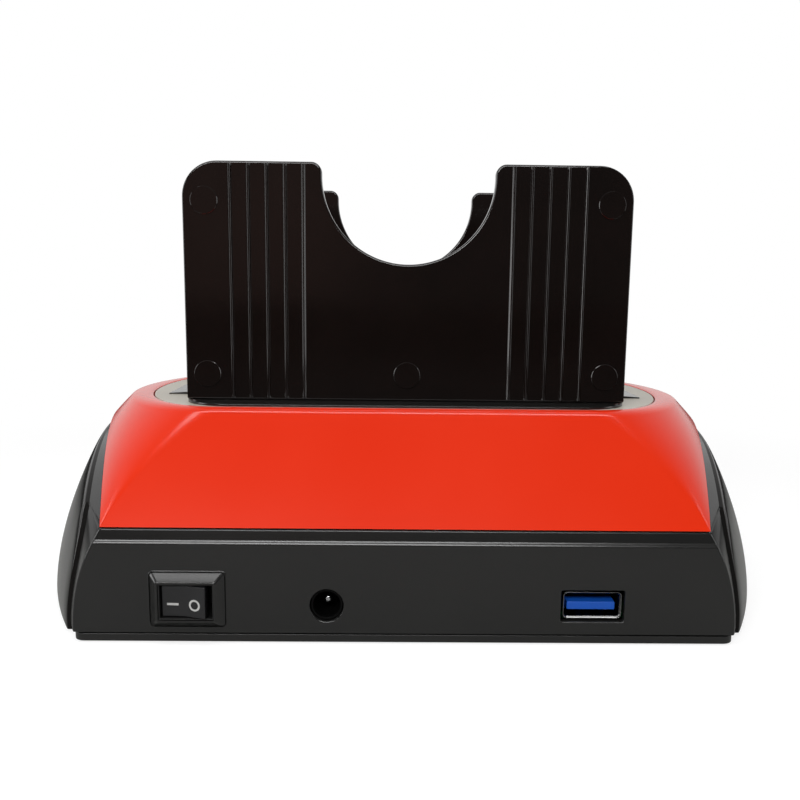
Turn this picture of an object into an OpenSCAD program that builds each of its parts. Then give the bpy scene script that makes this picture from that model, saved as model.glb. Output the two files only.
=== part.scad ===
// Two-bay hard drive docking station, millimetres.
// Origin at the centre of the standing face, +X right and +Y away as seen from the socket side, +Z up.

/* [Housing] */
// Half depth of the housing, socket panel to centre
half_depth = 58.5; // [57:0.5:62]
// Half width of the socket panel at its foot
panel_half_w = 75.5; // [73:0.1:79]
// How far the panel's side edges lean in at their top
panel_lean = 7; // [4:0.1:8]
// Height of the seam between black housing and red cover
seam_z = 26.5; // [25:0.5:29]
// Height of the arch that the red cover sits on at each end
arch_z = 45.5; // [43:0.5:46]
// Half width of the cover's edge at the top of the arch
arch_half_w = 81; // [79:0.5:83]
// Wall of the black housing
shell_wall = 2.0; // [1.6:0.1:2.6]
// Height of the chamfer along the top of the socket panel
panel_band = 3.1; // [2:0.1:4]
// Depth of that chamfer
panel_band_in = 0.9; // [0.4:0.1:1.5]
// Open seam between housing and cover
seam_gap = 0.3; // [0.2:0.05:0.6]

/* [Side cheeks] */
// Half width over the cheeks
cheek_half_w = 96; // [94:0.5:98]
// How far the cheek curves back at 50 mm from the middle
cheek_round_y = 15; // [14:0.5:17]
// How far the cheek curves back at 40 mm of height
cheek_round_z = 13.8; // [13:0.1:15]
// Thickness of a cheek
cheek_t = 2.2; // [1.8:0.1:3]
// Width of the dark groove around a cheek
groove_w = 1.0; // [0.6:0.1:1.6]

/* [Top] */
// Height of the red rim
rim_z = 51.6; // [50.5:0.1:53]
// Half length of the oval top panel
oval_half_l = 69.5; // [68:0.5:72]
// Half depth of the oval top panel
oval_half_d = 38.5; // [37:0.1:40]
// Half length of the oval's straight edges
oval_straight = 46; // [42:0.5:48]
// Thickness of the red cover
cover_wall = 2.2; // [1.8:0.1:3]
// Thickness of the oval top panel
panel_t = 2.0; // [1.5:0.1:2.5]

/* [Drive bays] */
// Length of a bay, for the width of a 3.5 inch drive
bay_l = 103.5; // [103:0.5:106]
// Width of a bay, for the thickness of a 3.5 inch drive
bay_w = 28.4; // [28:0.1:29]
// Wall between the two bays
divider_t = 2.6; // [2:0.1:3]
// Height of the bay floor
bay_floor_z = 13; // [12.5:0.1:16]
// Height of the flange around the bays
flange_z = 52.4; // [52.2:0.1:54]

/* [Guide plates] */
// Width of a guide plate
plate_w = 109.2; // [106:0.2:110]
// Height of a guide plate above the flange
plate_h = 57.6; // [45:0.1:70]
// Thickness of a guide plate
plate_t = 3.0; // [2.4:0.1:3.2]
// Radius of the round notch
notch_r = 21; // [15:0.5:23]
// Radius of the outer top corners
plate_corner_r = 8.5; // [4:0.5:10]
// Spacing of the ribs
rib_pitch = 4.42; // [3.5:0.02:4.6]
// Ribs at each side of the notch
rib_count = 5; // [3:1:6]

/* [Flaps] */
// Thickness of a dust flap
flap_t = 1.6; // [1.2:0.1:1.7]
// Diameter of a flap pin
flap_pin_d = 1.6; // [1.2:0.1:1.8]
// Height of the flap pins
flap_pin_z = 44.4; // [43:0.1:44.6]

/* [Electronics] */
// Thickness of the main board
board_t = 1.6; // [1.2:0.1:2]
// Height of the main board's top face
board_z = 6.1; // [5.9:0.1:6.4]
// Sideways place of the USB socket
usb_x = 42.6; // [30:0.2:45]
// Sideways place of the power jack
jack_x = -18; // [-24:0.2:5]
// Height of the power jack's axis
jack_z = 9; // [8.8:0.1:9.6]
// Hole for the power jack
jack_hole_d = 7.6; // [7:0.1:8.4]
// Sideways place of the power switch
switch_x = -49.3; // [-51:0.1:-44]
// Height of the power switch
switch_z = 10.4; // [10:0.1:12]
// How far the rocker tips between its two ends, degrees
rocker_swing = 20; // [12:1:22]
// Sideways place of the clone button
button_x = 40; // [25:1:45]
// Diameter of the clone button
button_d = 9; // [7:0.5:9.4]

/* [Base] */
// Thickness of the base tray
tray_t = 2.0; // [1.8:0.1:2.6]
// Height of the rubber feet below the tray
foot_h = 0.3; // [0.2:0.1:1.2]
// Diameter of the rubber feet
foot_d = 11; // [8:0.5:12]

/* [Hidden] */
$fn = 48;

// Colours of the pieces
black_gloss = "#191615";
black_satin = "#2b2b2a";
red_gloss = "#e2280f";
grey_satin = "#bab4a8";
steel = "#b8bcc0";
board_green = "#1c5a34";
gold = "#d0a64a";

gap = 0.3;
eps = 0.01;
tray_top = foot_h + tray_t;
board_low = board_z - board_t;

// Arch of the housing ends and of the groove, as circles over a chord
arch_half = half_depth - panel_band_in;
arch_r = (pow(arch_half, 2) + pow(arch_z - seam_z, 2)) / (2 * (arch_z - seam_z));
groove_foot = half_depth - 4.5;
groove_corner = half_depth - 12;
groove_corner_z = seam_z + 3;
groove_top = arch_z - 1.2;
groove_bend = 4;
groove_rise = groove_top - groove_corner_z;
groove_r = (pow(groove_corner, 2) + pow(groove_rise, 2)) / (2 * groove_rise);
function arch(y) = arch_z - arch_r + sqrt(pow(arch_r, 2) - pow(y, 2));
function groove_arch(y) = groove_top - groove_r + sqrt(pow(groove_r, 2) - pow(y, 2));

// Side edge of the socket panel at height z, and edge of the red cover at distance y from the middle
panel_foot_z = 3;
corner_half_w = panel_half_w - panel_lean;
panel_r = (pow(seam_z - panel_foot_z, 2) + pow(panel_lean, 2)) / (2 * panel_lean);
function panel_edge(z) = let(h = max(z - panel_foot_z, 0))
    panel_half_w - panel_r + sqrt(pow(panel_r, 2) - pow(h, 2));
// A crown that starts flat in the middle and runs out straight
function crown(y, bend) = sqrt(1 + pow(y / bend, 2)) - 1;
cover_bend = 15;
function cover_edge(y) = arch_half_w - (arch_half_w - corner_half_w) * crown(y, cover_bend)
    / crown(half_depth, cover_bend);

// Outer face of the cheeks
cheek_bend = 80;
cheek_swell = 1.66;
cheek_ref_y = 50;
cheek_ref_z = 40;
function cheek_x(y, z) = cheek_half_w - cheek_round_y * crown(y, cheek_bend) / crown(cheek_ref_y, cheek_bend)
    - cheek_round_z * pow(max(z - panel_foot_z, 0) / cheek_ref_z, cheek_swell);
seat_in = cheek_t + gap;
function lerp(a, b, t) = a + (b - a) * t;

// Place on a cheek's face: t runs rear to front, s runs foot to arch
function face_y(t, s, inset) = t * (lerp(groove_foot, groove_corner, pow(s, groove_bend)) - inset);
function face_z(y, s, foot, inset) = foot + s * (groove_arch(min(abs(y), groove_corner)) - inset - foot);

// Closed skin over a grid of points, rows joined end to end around the tube; each cell is split along
// its shorter diagonal
function split_cell(p, a, b, c, d) = norm(p[a] - p[c]) <= norm(p[b] - p[d])
    ? [[a, b, c], [a, c, d]]
    : [[a, b, d], [b, c, d]];
function grid_faces(p, rows, cols) = [for (i = [0:rows - 1], j = [0:cols - 1])
    let(a = i * cols + j, b = i * cols + (j + 1) % cols,
        c = ((i + 1) % rows) * cols + (j + 1) % cols, d = ((i + 1) % rows) * cols + j)
    each split_cell(p, a, b, c, d)];
module tube_loop(loop) {
    spots = [for (section = loop) each section];
    polyhedron(points = spots, faces = grid_faces(spots, len(loop), len(loop[0])));
}

// Black housing: upright sections taken all the way round, socket panel first
side_cols = 20;
side_rows = 9;
panel_cols = 6;
lip_in = 0.6;
arch_in = 1;
band_out = 0.6;
band_fall = 1;
panel_step = 0.5;
band_low = seam_z - panel_band;
function level(k, top) = lerp(tray_top, top, k / (side_rows - 1));
function panel_section(f, side) = let(y0 = half_depth, w = shell_wall, mid = band_low + panel_step) concat(
    [for (k = [0:side_rows - 1]) let(z = level(k, band_low)) [f * panel_edge(z), -side * y0, z]],
    [[f * panel_edge(mid), -side * (y0 - panel_step), mid]],
    [[f * panel_edge(seam_z), -side * (y0 - panel_band_in), seam_z]],
    [[f * (panel_edge(seam_z) - w), -side * (y0 - panel_band_in - w), seam_z]],
    [for (k = [side_rows - 1:-1:0]) let(z = level(k, band_low))
        [f * (panel_edge(z) - w), -side * (y0 - w), z]]);
// One upright section of a housing end; deep is how far its face lies below the cheek's face, and out
// is how far its corner stands outside the groove
function end_section(side, t, deep, arch_y, in_y, out) = let(w = shell_wall, reach = 1 - out / 8) concat(
    [for (k = [0:side_rows - 1]) let(s = reach * k / (side_rows - 1), y = face_y(t, s, 0),
        z = face_z(y, s, tray_top, 0)) [side * (cheek_x(y, z) - deep), side * y, z]],
    [let(y = face_y(t, 1, -out), z = face_z(y, 1, tray_top, 0))
        [side * (cheek_x(y, z) - lip_in - band_fall * out), side * y, z]],
    [[side * cover_edge(arch_y), side * arch_y, arch(arch_y)]],
    [let(y = arch_y * (1 - w / half_depth)) [side * (cover_edge(y) - w), side * y, arch(y)]],
    [for (k = [side_rows - 1:-1:0]) let(s = k / (side_rows - 1), y = face_y(t, s, in_y),
        z = face_z(y, s, tray_top, s * w)) [side * (cheek_x(y, z) - seat_in - w), side * y, z]]);
function housing_end(side) = concat(
    [end_section(side, -1, lip_in + band_fall * band_out, -half_depth + arch_in, shell_wall / 2, band_out)],
    [for (i = [0:side_cols]) let(t = sin(lerp(-90, 90, i / side_cols)))
        end_section(side, t, seat_in, t * (half_depth - 2 * arch_in), shell_wall, 0)],
    [end_section(side, 1, lip_in + band_fall * band_out, half_depth - arch_in, shell_wall / 2, band_out)]);
function panel_wall(side) = [for (i = [0:panel_cols])
    panel_section(side * lerp(-1, 1, i / panel_cols), side)];

// Bay layout across the depth
bay_in = divider_t / 2;
bay_out = bay_in + bay_w;
plate_in = bay_out;
plate_out = plate_in + plate_t;
flap_knuckle_r = flap_pin_d / 2 + 0.8;
flap_pin_y = bay_out + 1.2;
pocket_y = flap_pin_y + flap_knuckle_r + gap;
insert_wall = 1.0;
insert_half_d = pocket_y + insert_wall;
insert_end = 1.8;
insert_half_l = bay_l / 2 + insert_end;
insert_floor = 2.0;
insert_corner = 3.5;
header_z = flap_pin_z + flap_knuckle_r + gap;
flange_half_l = plate_w / 2 + 0.4;
flange_half_d = insert_half_d + 0.4;
panel_sink = 0.1;
flange_low = rim_z - panel_sink;
flange_corner = 5;
tongue_l = 30;
tongue_x = 30;
tongue_h = 4;

// Red cover: sections from the arch or seam up over the rim and back down inside
cover_cols = 22;
rim_round = 0.95;
rim_round_more = 0.09;
function round_start(foot) = rim_round - rim_round_more * (1 - abs(foot[1]) / cover_y);
rim_gap = 0.35;
ledge_gap = 2.4;
ledge_w = oval_half_d - insert_half_d - ledge_gap;
ledge_z = rim_z - panel_sink - panel_t;
ledge_t = 1.4;
function oval_end(phi, more) = [oval_straight + (oval_half_l - oval_straight + more) * cos(phi),
    (oval_half_d + more) * sin(phi)];
function mix(a, b, t) = a + (b - a) * t;
function curve(a, b, c, t) = mix(mix(a, b, t), mix(b, c, t), t);
function at(p, z) = [p[0], p[1], z];
// Up the outside each section swells sideways, most where it is tallest
cover_swell = 2.8;
function swell(foot, t) = let(tall = (rim_z - foot[2]) / (rim_z - seam_z))
    [sign(foot[0]) * cover_swell * tall * tall * 4 * t * (1 - t) * abs(foot[0]) / cover_edge(foot[1]), 0, 0];
function cover_section(foot, foot_in, oval) = let(edge = at(oval[3], rim_z), crest = at(oval[2], rim_z),
    turn = round_start(foot), start = mix(foot, edge, turn) + swell(foot, turn)) concat(
    [for (k = [0:3]) let(t = turn * k / 4) mix(foot, edge, t) + swell(foot, t)],
    [for (k = [0:5]) curve(start, edge, crest, k / 5)],
    [at(oval[1], rim_z - 0.2), at(oval[1], ledge_z), at(oval[0], ledge_z), at(oval[0], ledge_z - ledge_t)],
    [mix(at(oval[0], ledge_z - ledge_t), foot_in, 0.5), foot_in]);
// The rim is narrow along the straight edges and widens round the ends
rim_w = 2.4;
rim_more = 3.2;
function oval_steps(phi) = [-ledge_w, rim_gap, rim_gap + 0.5, rim_w + rim_more * pow(cos(phi), 2)];
cover_y = half_depth - panel_band_in;
function cover_end(side) = [for (i = [0:cover_cols]) let(phi = lerp(-90, 90, i / cover_cols),
    y = cover_y * sin(phi), x = cover_edge(y), n = 1 - cover_wall / cover_y)
    cover_section([side * x, side * y, arch(y) + seam_gap],
        [side * (x - cover_wall), side * y * n, arch(y * n) + seam_gap],
        [for (d = oval_steps(phi)) side * oval_end(phi, d)])];
function cover_wall_section(f, side) = let(x = f * cover_edge(cover_y), z = arch(cover_y) + seam_gap)
    cover_section([x, -side * cover_y, z], [x * 0.97, -side * (cover_y - cover_wall), z],
        [for (d = oval_steps(90)) [f * oval_straight, -side * (oval_half_d + d)]]);
function cover_side(side) = [for (i = [1:panel_cols - 1])
    cover_wall_section(side * lerp(-1, 1, i / panel_cols), side)];

module base_outline(inset) {
    n = 30;
    side_pts = [for (i = [0:n]) let(y = lerp(-groove_foot, groove_foot, i / n))
        [cheek_x(y, 0) - seat_in - inset, y]];
    corner = [panel_half_w - inset, half_depth - inset];
    right = concat([[corner[0], -corner[1]]], side_pts, [corner]);
    polygon(concat(right, [for (p = right) -p]));
}

// Places of the screws and feet
cover_post = [63, 44];
cover_post_d = 7;
cover_post_top = arch(cover_post[1]) + 2.2;
base_screw_d = 2.6;
base_screw_head_d = 5.4;
base_screw_head_h = 1.1;
base_screw_l = 12;
board_side_gap = 3.5;
board_half_x = cover_post[0] - cover_post_d / 2 - board_side_gap;
board_hole_in = 4;
board_hole = [board_half_x - board_hole_in, 30];
board_screw_d = 2.2;
board_screw_head_d = 4.2;
board_screw_head_h = 1.3;
board_boss_d = 5;
foot_place = [48, 48];
foot_pocket = 0.8;
board_edge_gap = 2.7;
board_half_y = half_depth - shell_wall - board_edge_gap;
module four(p) {
    for (sx = [-1, 1], sy = [-1, 1])
        translate([sx * p[0], sy * p[1], 0])
            children();
}

module rounded_rect(half_l, half_d, r) {
    union() {
        square([2 * (half_l - r), 2 * half_d], center = true);
        square([2 * half_l, 2 * (half_d - r)], center = true);
        for (sx = [-1, 1], sy = [-1, 1])
            translate([sx * (half_l - r), sy * (half_d - r)])
                circle(r);
    }
}
module box(x0, x1, y0, y1, z0, z1) {
    translate([x0, y0, z0])
        cube([x1 - x0, y1 - y0, z1 - z0]);
}

// Sockets on the housing
usb_w = 13.3;
usb_h = 6.2;
usb_wall = 0.4;
usb_len = 14;
usb_z = board_z + usb_h / 2;
usb_front = half_depth - 0.5;
usb_clear = 0.6;
jack_w = 9;
jack_len = 13;
jack_nose_d = jack_hole_d - 0.4;
jack_bore_d = 6.3;
jack_pin_d = 2.0;
jack_pin_in = 4;
jack_block_in = 3;
jack_nose_in = 1.6;
jack_bore_l = 10;
jack_back = half_depth - jack_block_in - jack_len;
switch_frame = [17.2, 12.9];
switch_frame_h = 2.2;
switch_hole = [12.6, 8.6];
switch_case_wall = 0.4;
rocker_gap = 0.25;
rocker_w = 10.2;
rocker_h = switch_hole[1] - 2 * (switch_case_wall + rocker_gap);
rocker_pivot_y = half_depth - 1.2;
rocker_pin_d = 1.6;
switch_case_gap = 0.1;
switch_lip = 1.9;
switch_back = 9.3;
switch_floor = 1.2;
button_z = board_z + 3.6;
button_travel = 0.8;
button_proud = 1.3;
pipe_d = 3;
pipe_x = [-12, 0, 12];
pipe_z = board_z + pipe_d / 2 + 0.4;

tray_catch = [12, 1.5, 3.6];
tray_catch_x = corner_half_w - 4.5;
module base_tray() {
    color(black_satin)
        difference() {
            union() {
                translate([0, 0, foot_h])
                    linear_extrude(tray_t)
                        base_outline(0.1);
                four(board_hole)
                    translate([0, 0, tray_top - eps])
                        cylinder(d = board_boss_d, h = board_low - tray_top + eps);
                four([tray_catch_x, half_depth - shell_wall - gap - tray_catch[1] / 2])
                    translate([0, 0, tray_top])
                        cube(tray_catch, center = true);
            }
            four(cover_post) {
                translate([0, 0, -1])
                    cylinder(d = base_screw_d + 0.4, h = tray_top + 2);
                translate([0, 0, -1])
                    cylinder(d = base_screw_head_d + 0.4, h = foot_h + base_screw_head_h + 1);
            }
            four(foot_place)
                translate([0, 0, foot_h - 1])
                    cylinder(d = foot_d, h = foot_pocket + 1);
            four(board_hole)
                translate([0, 0, tray_top - 1])
                    cylinder(d = board_screw_d, h = 6);
        }
}

module body_shell() {
    loop = concat(panel_wall(1), housing_end(1), panel_wall(-1), housing_end(-1));
    color(black_satin)
        difference() {
            union() {
                tube_loop(loop);
                switch_surround();
            }
            translate([switch_x, -half_depth, switch_z])
                cube([switch_hole[0], 12, switch_hole[1]], center = true);
            translate([usb_x, -half_depth, usb_z])
                cube([usb_w + 2 * usb_clear, 12, usb_h + 2 * usb_clear], center = true);
            translate([jack_x, -half_depth + 6, jack_z])
                rotate([90, 0, 0])
                    cylinder(d = jack_hole_d, h = 12);
            translate([button_x, half_depth + 6, button_z])
                rotate([90, 0, 0])
                    cylinder(d = button_d + 2 * gap, h = 12);
            for (x = pipe_x)
                translate([x, half_depth + 6, pipe_z])
                    rotate([90, 0, 0])
                        cylinder(d = pipe_d, h = 12);
        }
}
module switch_surround() {
    translate([switch_x, -half_depth + 0.5, switch_z])
        rotate([90, 0, 0])
            hull() {
                translate([-switch_frame[0] / 2, -switch_frame[1] / 2, 0])
                    cube([switch_frame[0], switch_frame[1], 0.6]);
                translate([-switch_hole[0] / 2 - 0.3, -switch_hole[1] / 2 - 0.3, switch_frame_h + 0.4])
                    cube([switch_hole[0] + 0.6, switch_hole[1] + 0.6, 0.1]);
            }
}

module top_cover() {
    loop = concat(cover_side(1), cover_end(1), cover_side(-1), cover_end(-1));
    color(red_gloss)
        difference() {
            union() {
                tube_loop(loop);
                four(cover_post)
                    translate([0, 0, tray_top])
                        cylinder(d = cover_post_d, h = cover_post_top - tray_top);
            }
            four(cover_post)
                translate([0, 0, tray_top - 1])
                    cylinder(d = base_screw_d, h = base_screw_l + 1);
        }
}

// Cheek: outer face rounded off at its edges, with an even thickness behind it
cheek_cols = 26;
cheek_rows = 14;
cheek_foot = foot_h + 0.4;
cheek_edge_r = 3;
cheek_edge_drop = 0.5;
function round_off(d) = let(k = 1 - min(max(d, 0) / cheek_edge_r, 1))
    cheek_edge_drop * (1 - sqrt(1 - k * k));
function cheek_section(t, side) = let(
    spot = [for (k = [0:cheek_rows]) let(s = (1 - cos(180 * k / cheek_rows)) / 2, y = face_y(t, s, groove_w))
        [y, face_z(y, s, cheek_foot, groove_w), s]])
    concat(
        [for (p = spot) let(side_gap = (1 - abs(t)) * groove_foot,
            top_gap = (1 - p[2]) * (groove_arch(min(abs(p[0]), groove_corner)) - cheek_foot),
            foot_gap = p[2] * (arch_z - cheek_foot) * 0.8)
            [side * (cheek_x(p[0], p[1]) - round_off(min(side_gap, top_gap, foot_gap))), side * p[0], p[1]]],
        [for (k = [cheek_rows:-1:0]) let(p = spot[k])
            [side * (cheek_x(p[0], p[1]) - cheek_t), side * p[0], p[1]]]);
module cheek(side) {
    rows = [for (i = [0:cheek_cols]) cheek_section(sin(lerp(-90, 90, i / cheek_cols)), side)];
    n = 2 * (cheek_rows + 1);
    last = cheek_cols * n;
    spots = [for (r = rows) each r];
    skin = [for (i = [0:cheek_cols - 1], j = [0:n - 1])
        let(a = i * n + j, b = i * n + (j + 1) % n, c = (i + 1) * n + (j + 1) % n, d = (i + 1) * n + j)
        each split_cell(spots, a, b, c, d)];
    first_cap = [for (k = [0:cheek_rows - 1]) let(a = k, b = k + 1, c = n - 2 - k, d = n - 1 - k)
        each [[a, c, b], [a, d, c]]];
    last_cap = [for (f = first_cap) [last + f[0], last + f[2], last + f[1]]];
    color(black_gloss)
        polyhedron(points = spots, faces = concat(skin, first_cap, last_cap));
}
module side_cheek_left() { cheek(-1); }
module side_cheek_right() { cheek(1); }

module top_panel() {
    color(grey_satin)
        translate([0, 0, ledge_z])
            linear_extrude(panel_t)
                difference() {
                    union() {
                        square([2 * oval_straight, 2 * oval_half_d], center = true);
                        for (side = [-1, 1])
                            polygon([for (i = [0:40]) side * oval_end(lerp(-90, 90, i / 40), 0)]);
                    }
                    rounded_rect(insert_half_l + 0.2, insert_half_d + 0.2, insert_corner + 0.2);
                }
}

module bay_insert() {
    color(black_satin)
        difference() {
            union() {
                translate([0, 0, bay_floor_z - insert_floor])
                    linear_extrude(flange_low - bay_floor_z + insert_floor)
                        rounded_rect(insert_half_l, insert_half_d, insert_corner);
                translate([0, 0, flange_low])
                    linear_extrude(flange_z - flange_low)
                        rounded_rect(flange_half_l, flange_half_d, flange_corner);
                for (side = [-1, 1])
                    end_ramp(side);
            }
            for (side = [-1, 1])
                bay_hollow(side);
            for (side = [-1, 1], x = [-tongue_x, tongue_x])
                translate([x, side * (plate_in + plate_t / 2), flange_z - tongue_h / 2 + 1])
                    cube([tongue_l, plate_t + 0.2, tongue_h + 2], center = true);
        }
}
ramp_l = 8.7;
ramp_half_d = 17;
module end_ramp(side) {
    translate([side * (flange_half_l - 0.5), ramp_half_d, flange_low])
        rotate([90, 0, 0])
            linear_extrude(2 * ramp_half_d)
                polygon([[0, 0], [side * ramp_l, 0], [side * ramp_l, 0.3], [0, flange_z - flange_low]]);
}
sata_slot = [46, 7.4];
module bay_hollow(side) {
    mirror([0, side < 0 ? 1 : 0, 0]) {
        box(-bay_l / 2, bay_l / 2, bay_in, bay_out, bay_floor_z, flange_z + 1);
        box(-bay_l / 2, bay_l / 2, bay_in, pocket_y, bay_floor_z, header_z);
        box(sata_x - sata_slot[0] / 2, sata_x + sata_slot[0] / 2, sata_y - sata_slot[1] / 2,
            sata_y + sata_slot[1] / 2, bay_floor_z - insert_floor - 1, bay_floor_z + 1);
        translate([-insert_half_l - 1, flap_pin_y, flap_pin_z])
            rotate([0, 90, 0])
                cylinder(d = flap_pin_d, h = 2 * insert_half_l + 2);
    }
}

function arc(cx, cy, r, a0, a1, n) = [for (i = [0:n]) let(a = lerp(a0, a1, i / n))
    [cx + r * cos(a), cy + r * sin(a)]];
horn_r = 2.5;
notch_up = 3;
notch_y = plate_h - notch_up;
// The notch is met by each horn's round corner
horn_reach = notch_r + horn_r;
horn_x = sqrt(pow(horn_reach, 2) - pow(notch_up - horn_r, 2));
horn_a = atan2(notch_up - horn_r, horn_x);
module plate_outline() {
    half = plate_w / 2;
    c = plate_corner_r;
    polygon(concat(
        [[-half, 0], [half, 0]],
        arc(half - c, plate_h - c, c, 0, 90, 12),
        arc(horn_x, plate_h - horn_r, horn_r, 90, 180 + horn_a, 8),
        arc(0, notch_y, notch_r, horn_a, -180 - horn_a, 36),
        arc(-horn_x, plate_h - horn_r, horn_r, -horn_a, 90, 8),
        arc(-half + c, plate_h - c, c, 90, 180, 12)));
}
rib_first = 25.4;
rib_w = 0.8;
rib_up = 0.5;
boss_d = 6.6;
boss_up = 0.25;
boss_edge = 5.3;
boss_low = 6.4;
module guide_plate(side) {
    outer = side * plate_out;
    color(black_gloss)
        union() {
            translate([0, side > 0 ? plate_out : -plate_in, flange_z])
                rotate([90, 0, 0])
                    linear_extrude(plate_t)
                        plate_outline();
            for (x = [-tongue_x, tongue_x])
                translate([x, side * (plate_in + plate_t / 2), flange_z - tongue_h / 2 + 0.5])
                    cube([tongue_l - 0.4, plate_t, tongue_h - 0.4 + 1], center = true);
            for (sx = [-1, 1], k = [0:rib_count - 1])
                translate([sx * (rib_first + k * rib_pitch), outer, flange_z + 0.5 + (plate_h - 1) / 2])
                    cube([rib_w, 2 * rib_up, plate_h - 1], center = true);
            for (p = [[-1, plate_h - 9.3], [1, plate_h - 9.3], [-1, boss_low], [0, boss_low], [1, boss_low]])
                translate([p[0] * (plate_w / 2 - boss_edge), outer, flange_z + p[1]])
                    rotate([90, 0, 0])
                        cylinder(d = boss_d, h = 2 * boss_up, center = true);
        }
}
module rear_guide_plate() { guide_plate(-1); }
module front_guide_plate() { guide_plate(1); }

// Flaps, built for the far bay and mirrored for the near one
flap_end_gap = 0.4;
flap_notch_l = 12;
flap_notch_d = 9;
flap_free = bay_in + 0.4;
flap_bore_d = flap_pin_d + 0.1;
module flap() {
    half = bay_l / 2 - flap_end_gap;
    low = flap_pin_z - flap_knuckle_r;
    difference() {
        union() {
            box(-half, half, flap_free, flap_pin_y, low, low + flap_t);
            translate([-half, flap_pin_y, flap_pin_z])
                rotate([0, 90, 0])
                    cylinder(r = flap_knuckle_r, h = 2 * half);
        }
        translate([-half - 1, flap_pin_y, flap_pin_z])
            rotate([0, 90, 0])
                cylinder(d = flap_bore_d, h = 2 * half + 2);
        translate([0, flap_pin_y, flap_pin_z])
            cube([flap_notch_l, 2 * flap_notch_d, 2 * flap_notch_d], center = true);
    }
}
module flap_pin() {
    translate([-insert_half_l + 0.1, flap_pin_y, flap_pin_z])
        rotate([0, 90, 0])
            cylinder(d = flap_pin_d, h = 2 * insert_half_l - 0.2);
}
spring_l = 8;
spring_wire = 0.5;
module flap_spring() {
    translate([0, flap_pin_y, flap_pin_z]) {
        rotate([0, 90, 0])
            difference() {
                cylinder(d = flap_pin_d + 0.1 + 2 * spring_wire, h = spring_l, center = true);
                cylinder(d = flap_pin_d + 0.1, h = spring_l + 1, center = true);
            }
        translate([spring_l / 2 - spring_wire, flap_pin_d / 2 + 0.05, -7])
            cube([spring_wire, spring_wire, 7]);
        translate([-spring_l / 2, -flap_notch_d + 1.5, -flap_pin_d / 2 - 0.05 - spring_wire])
            cube([spring_wire, flap_notch_d - 1.5, spring_wire]);
    }
}
module front_flap() { color(black_satin) flap(); }
module rear_flap() { color(black_satin) mirror([0, 1, 0]) flap(); }
module front_flap_pin() { color(steel) flap_pin(); }
module rear_flap_pin() { color(steel) mirror([0, 1, 0]) flap_pin(); }
module front_flap_spring() { color(steel) flap_spring(); }
module rear_flap_spring() { color(steel) mirror([0, 1, 0]) flap_spring(); }

module main_board() {
    color(board_green)
        difference() {
            box(-board_half_x, board_half_x, -board_half_y, board_half_y, board_low, board_z);
            four(board_hole)
                translate([0, 0, board_low - 1])
                    cylinder(d = board_screw_d + 0.4, h = board_t + 2);
            box(jack_x - jack_w / 2 - gap, jack_x + jack_w / 2 + gap, -board_half_y - 1, -jack_back + gap,
                board_low - 1, board_z + 1);
        }
}
module block(size) {
    translate([-size[0] / 2, -size[1] / 2, 0])
        cube(size);
}
module on_board(x, y) {
    translate([x, y, board_z])
        children();
}
chip = [10, 10, 1.1];
crystal_can = [4.8, 3.2, 1.2];
crystal_x = 12;
coil = [7, 7, 4];
coil_x = -2;
capacitor_d = 6.3;
capacitor_h = 7.5;
capacitor_x = [22, -30];
// Middle line of the pieces along each long edge of the board
edge_row = board_half_y - 11;
module bridge_chip() {
    color("#222222")
        on_board(0, -edge_row)
            block(chip);
}
module crystal() {
    color(steel)
        on_board(crystal_x, -edge_row)
            block(crystal_can);
}
module power_coil() {
    color("#4a4a4c")
        on_board(coil_x, edge_row)
            block(coil);
}
module capacitors() {
    color("#c4c7cb")
        for (p = [[capacitor_x[0], -edge_row], [capacitor_x[0], edge_row], [capacitor_x[1], edge_row]])
            on_board(p[0], p[1])
                cylinder(d = capacitor_d, h = capacitor_h);
}

sata_x = -22;
sata_y = bay_in + 9.4;
sata_body = [44, 6.4];
sata_up = 7;
blade_w = [10.4, 21];
blade_x = [-16, 4.2];
blade_t = 1.2;
blade_slot = 3.6;
blade_down = 6;
module sata_socket() {
    top = bay_floor_z + sata_up;
    translate([sata_x, sata_y, 0])
        difference() {
            box(-sata_body[0] / 2, sata_body[0] / 2, -sata_body[1] / 2, sata_body[1] / 2, board_z, top);
            for (k = [0, 1])
                difference() {
                    translate([blade_x[k], 0, top])
                        cube([blade_w[k] + 2.4, blade_slot, 2 * blade_down], center = true);
                    translate([blade_x[k], 0, top - 0.6])
                        cube([blade_w[k], blade_t, 2 * blade_down], center = true);
                }
        }
}
module front_sata_socket() { color("#151515") sata_socket(); }
module rear_sata_socket() { color("#151515") mirror([0, 1, 0]) sata_socket(); }
contact_pitch = 1.27;
contact_n = [7, 15];
contact_t = 0.2;
contact_w = 0.7;
contact_short = 1.2;
module sata_contact_row() {
    top = bay_floor_z + sata_up;
    translate([sata_x, sata_y, top - blade_down])
        for (k = [0, 1], i = [0:contact_n[k] - 1])
            translate([blade_x[k] + (i - (contact_n[k] - 1) / 2) * contact_pitch, blade_t / 2, 0])
                translate([-contact_w / 2, 0, 0])
                    cube([contact_w, contact_t, blade_down - contact_short]);
}
module sata_contacts() {
    color(gold) {
        sata_contact_row();
        mirror([0, 1, 0])
            sata_contact_row();
    }
}

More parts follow.
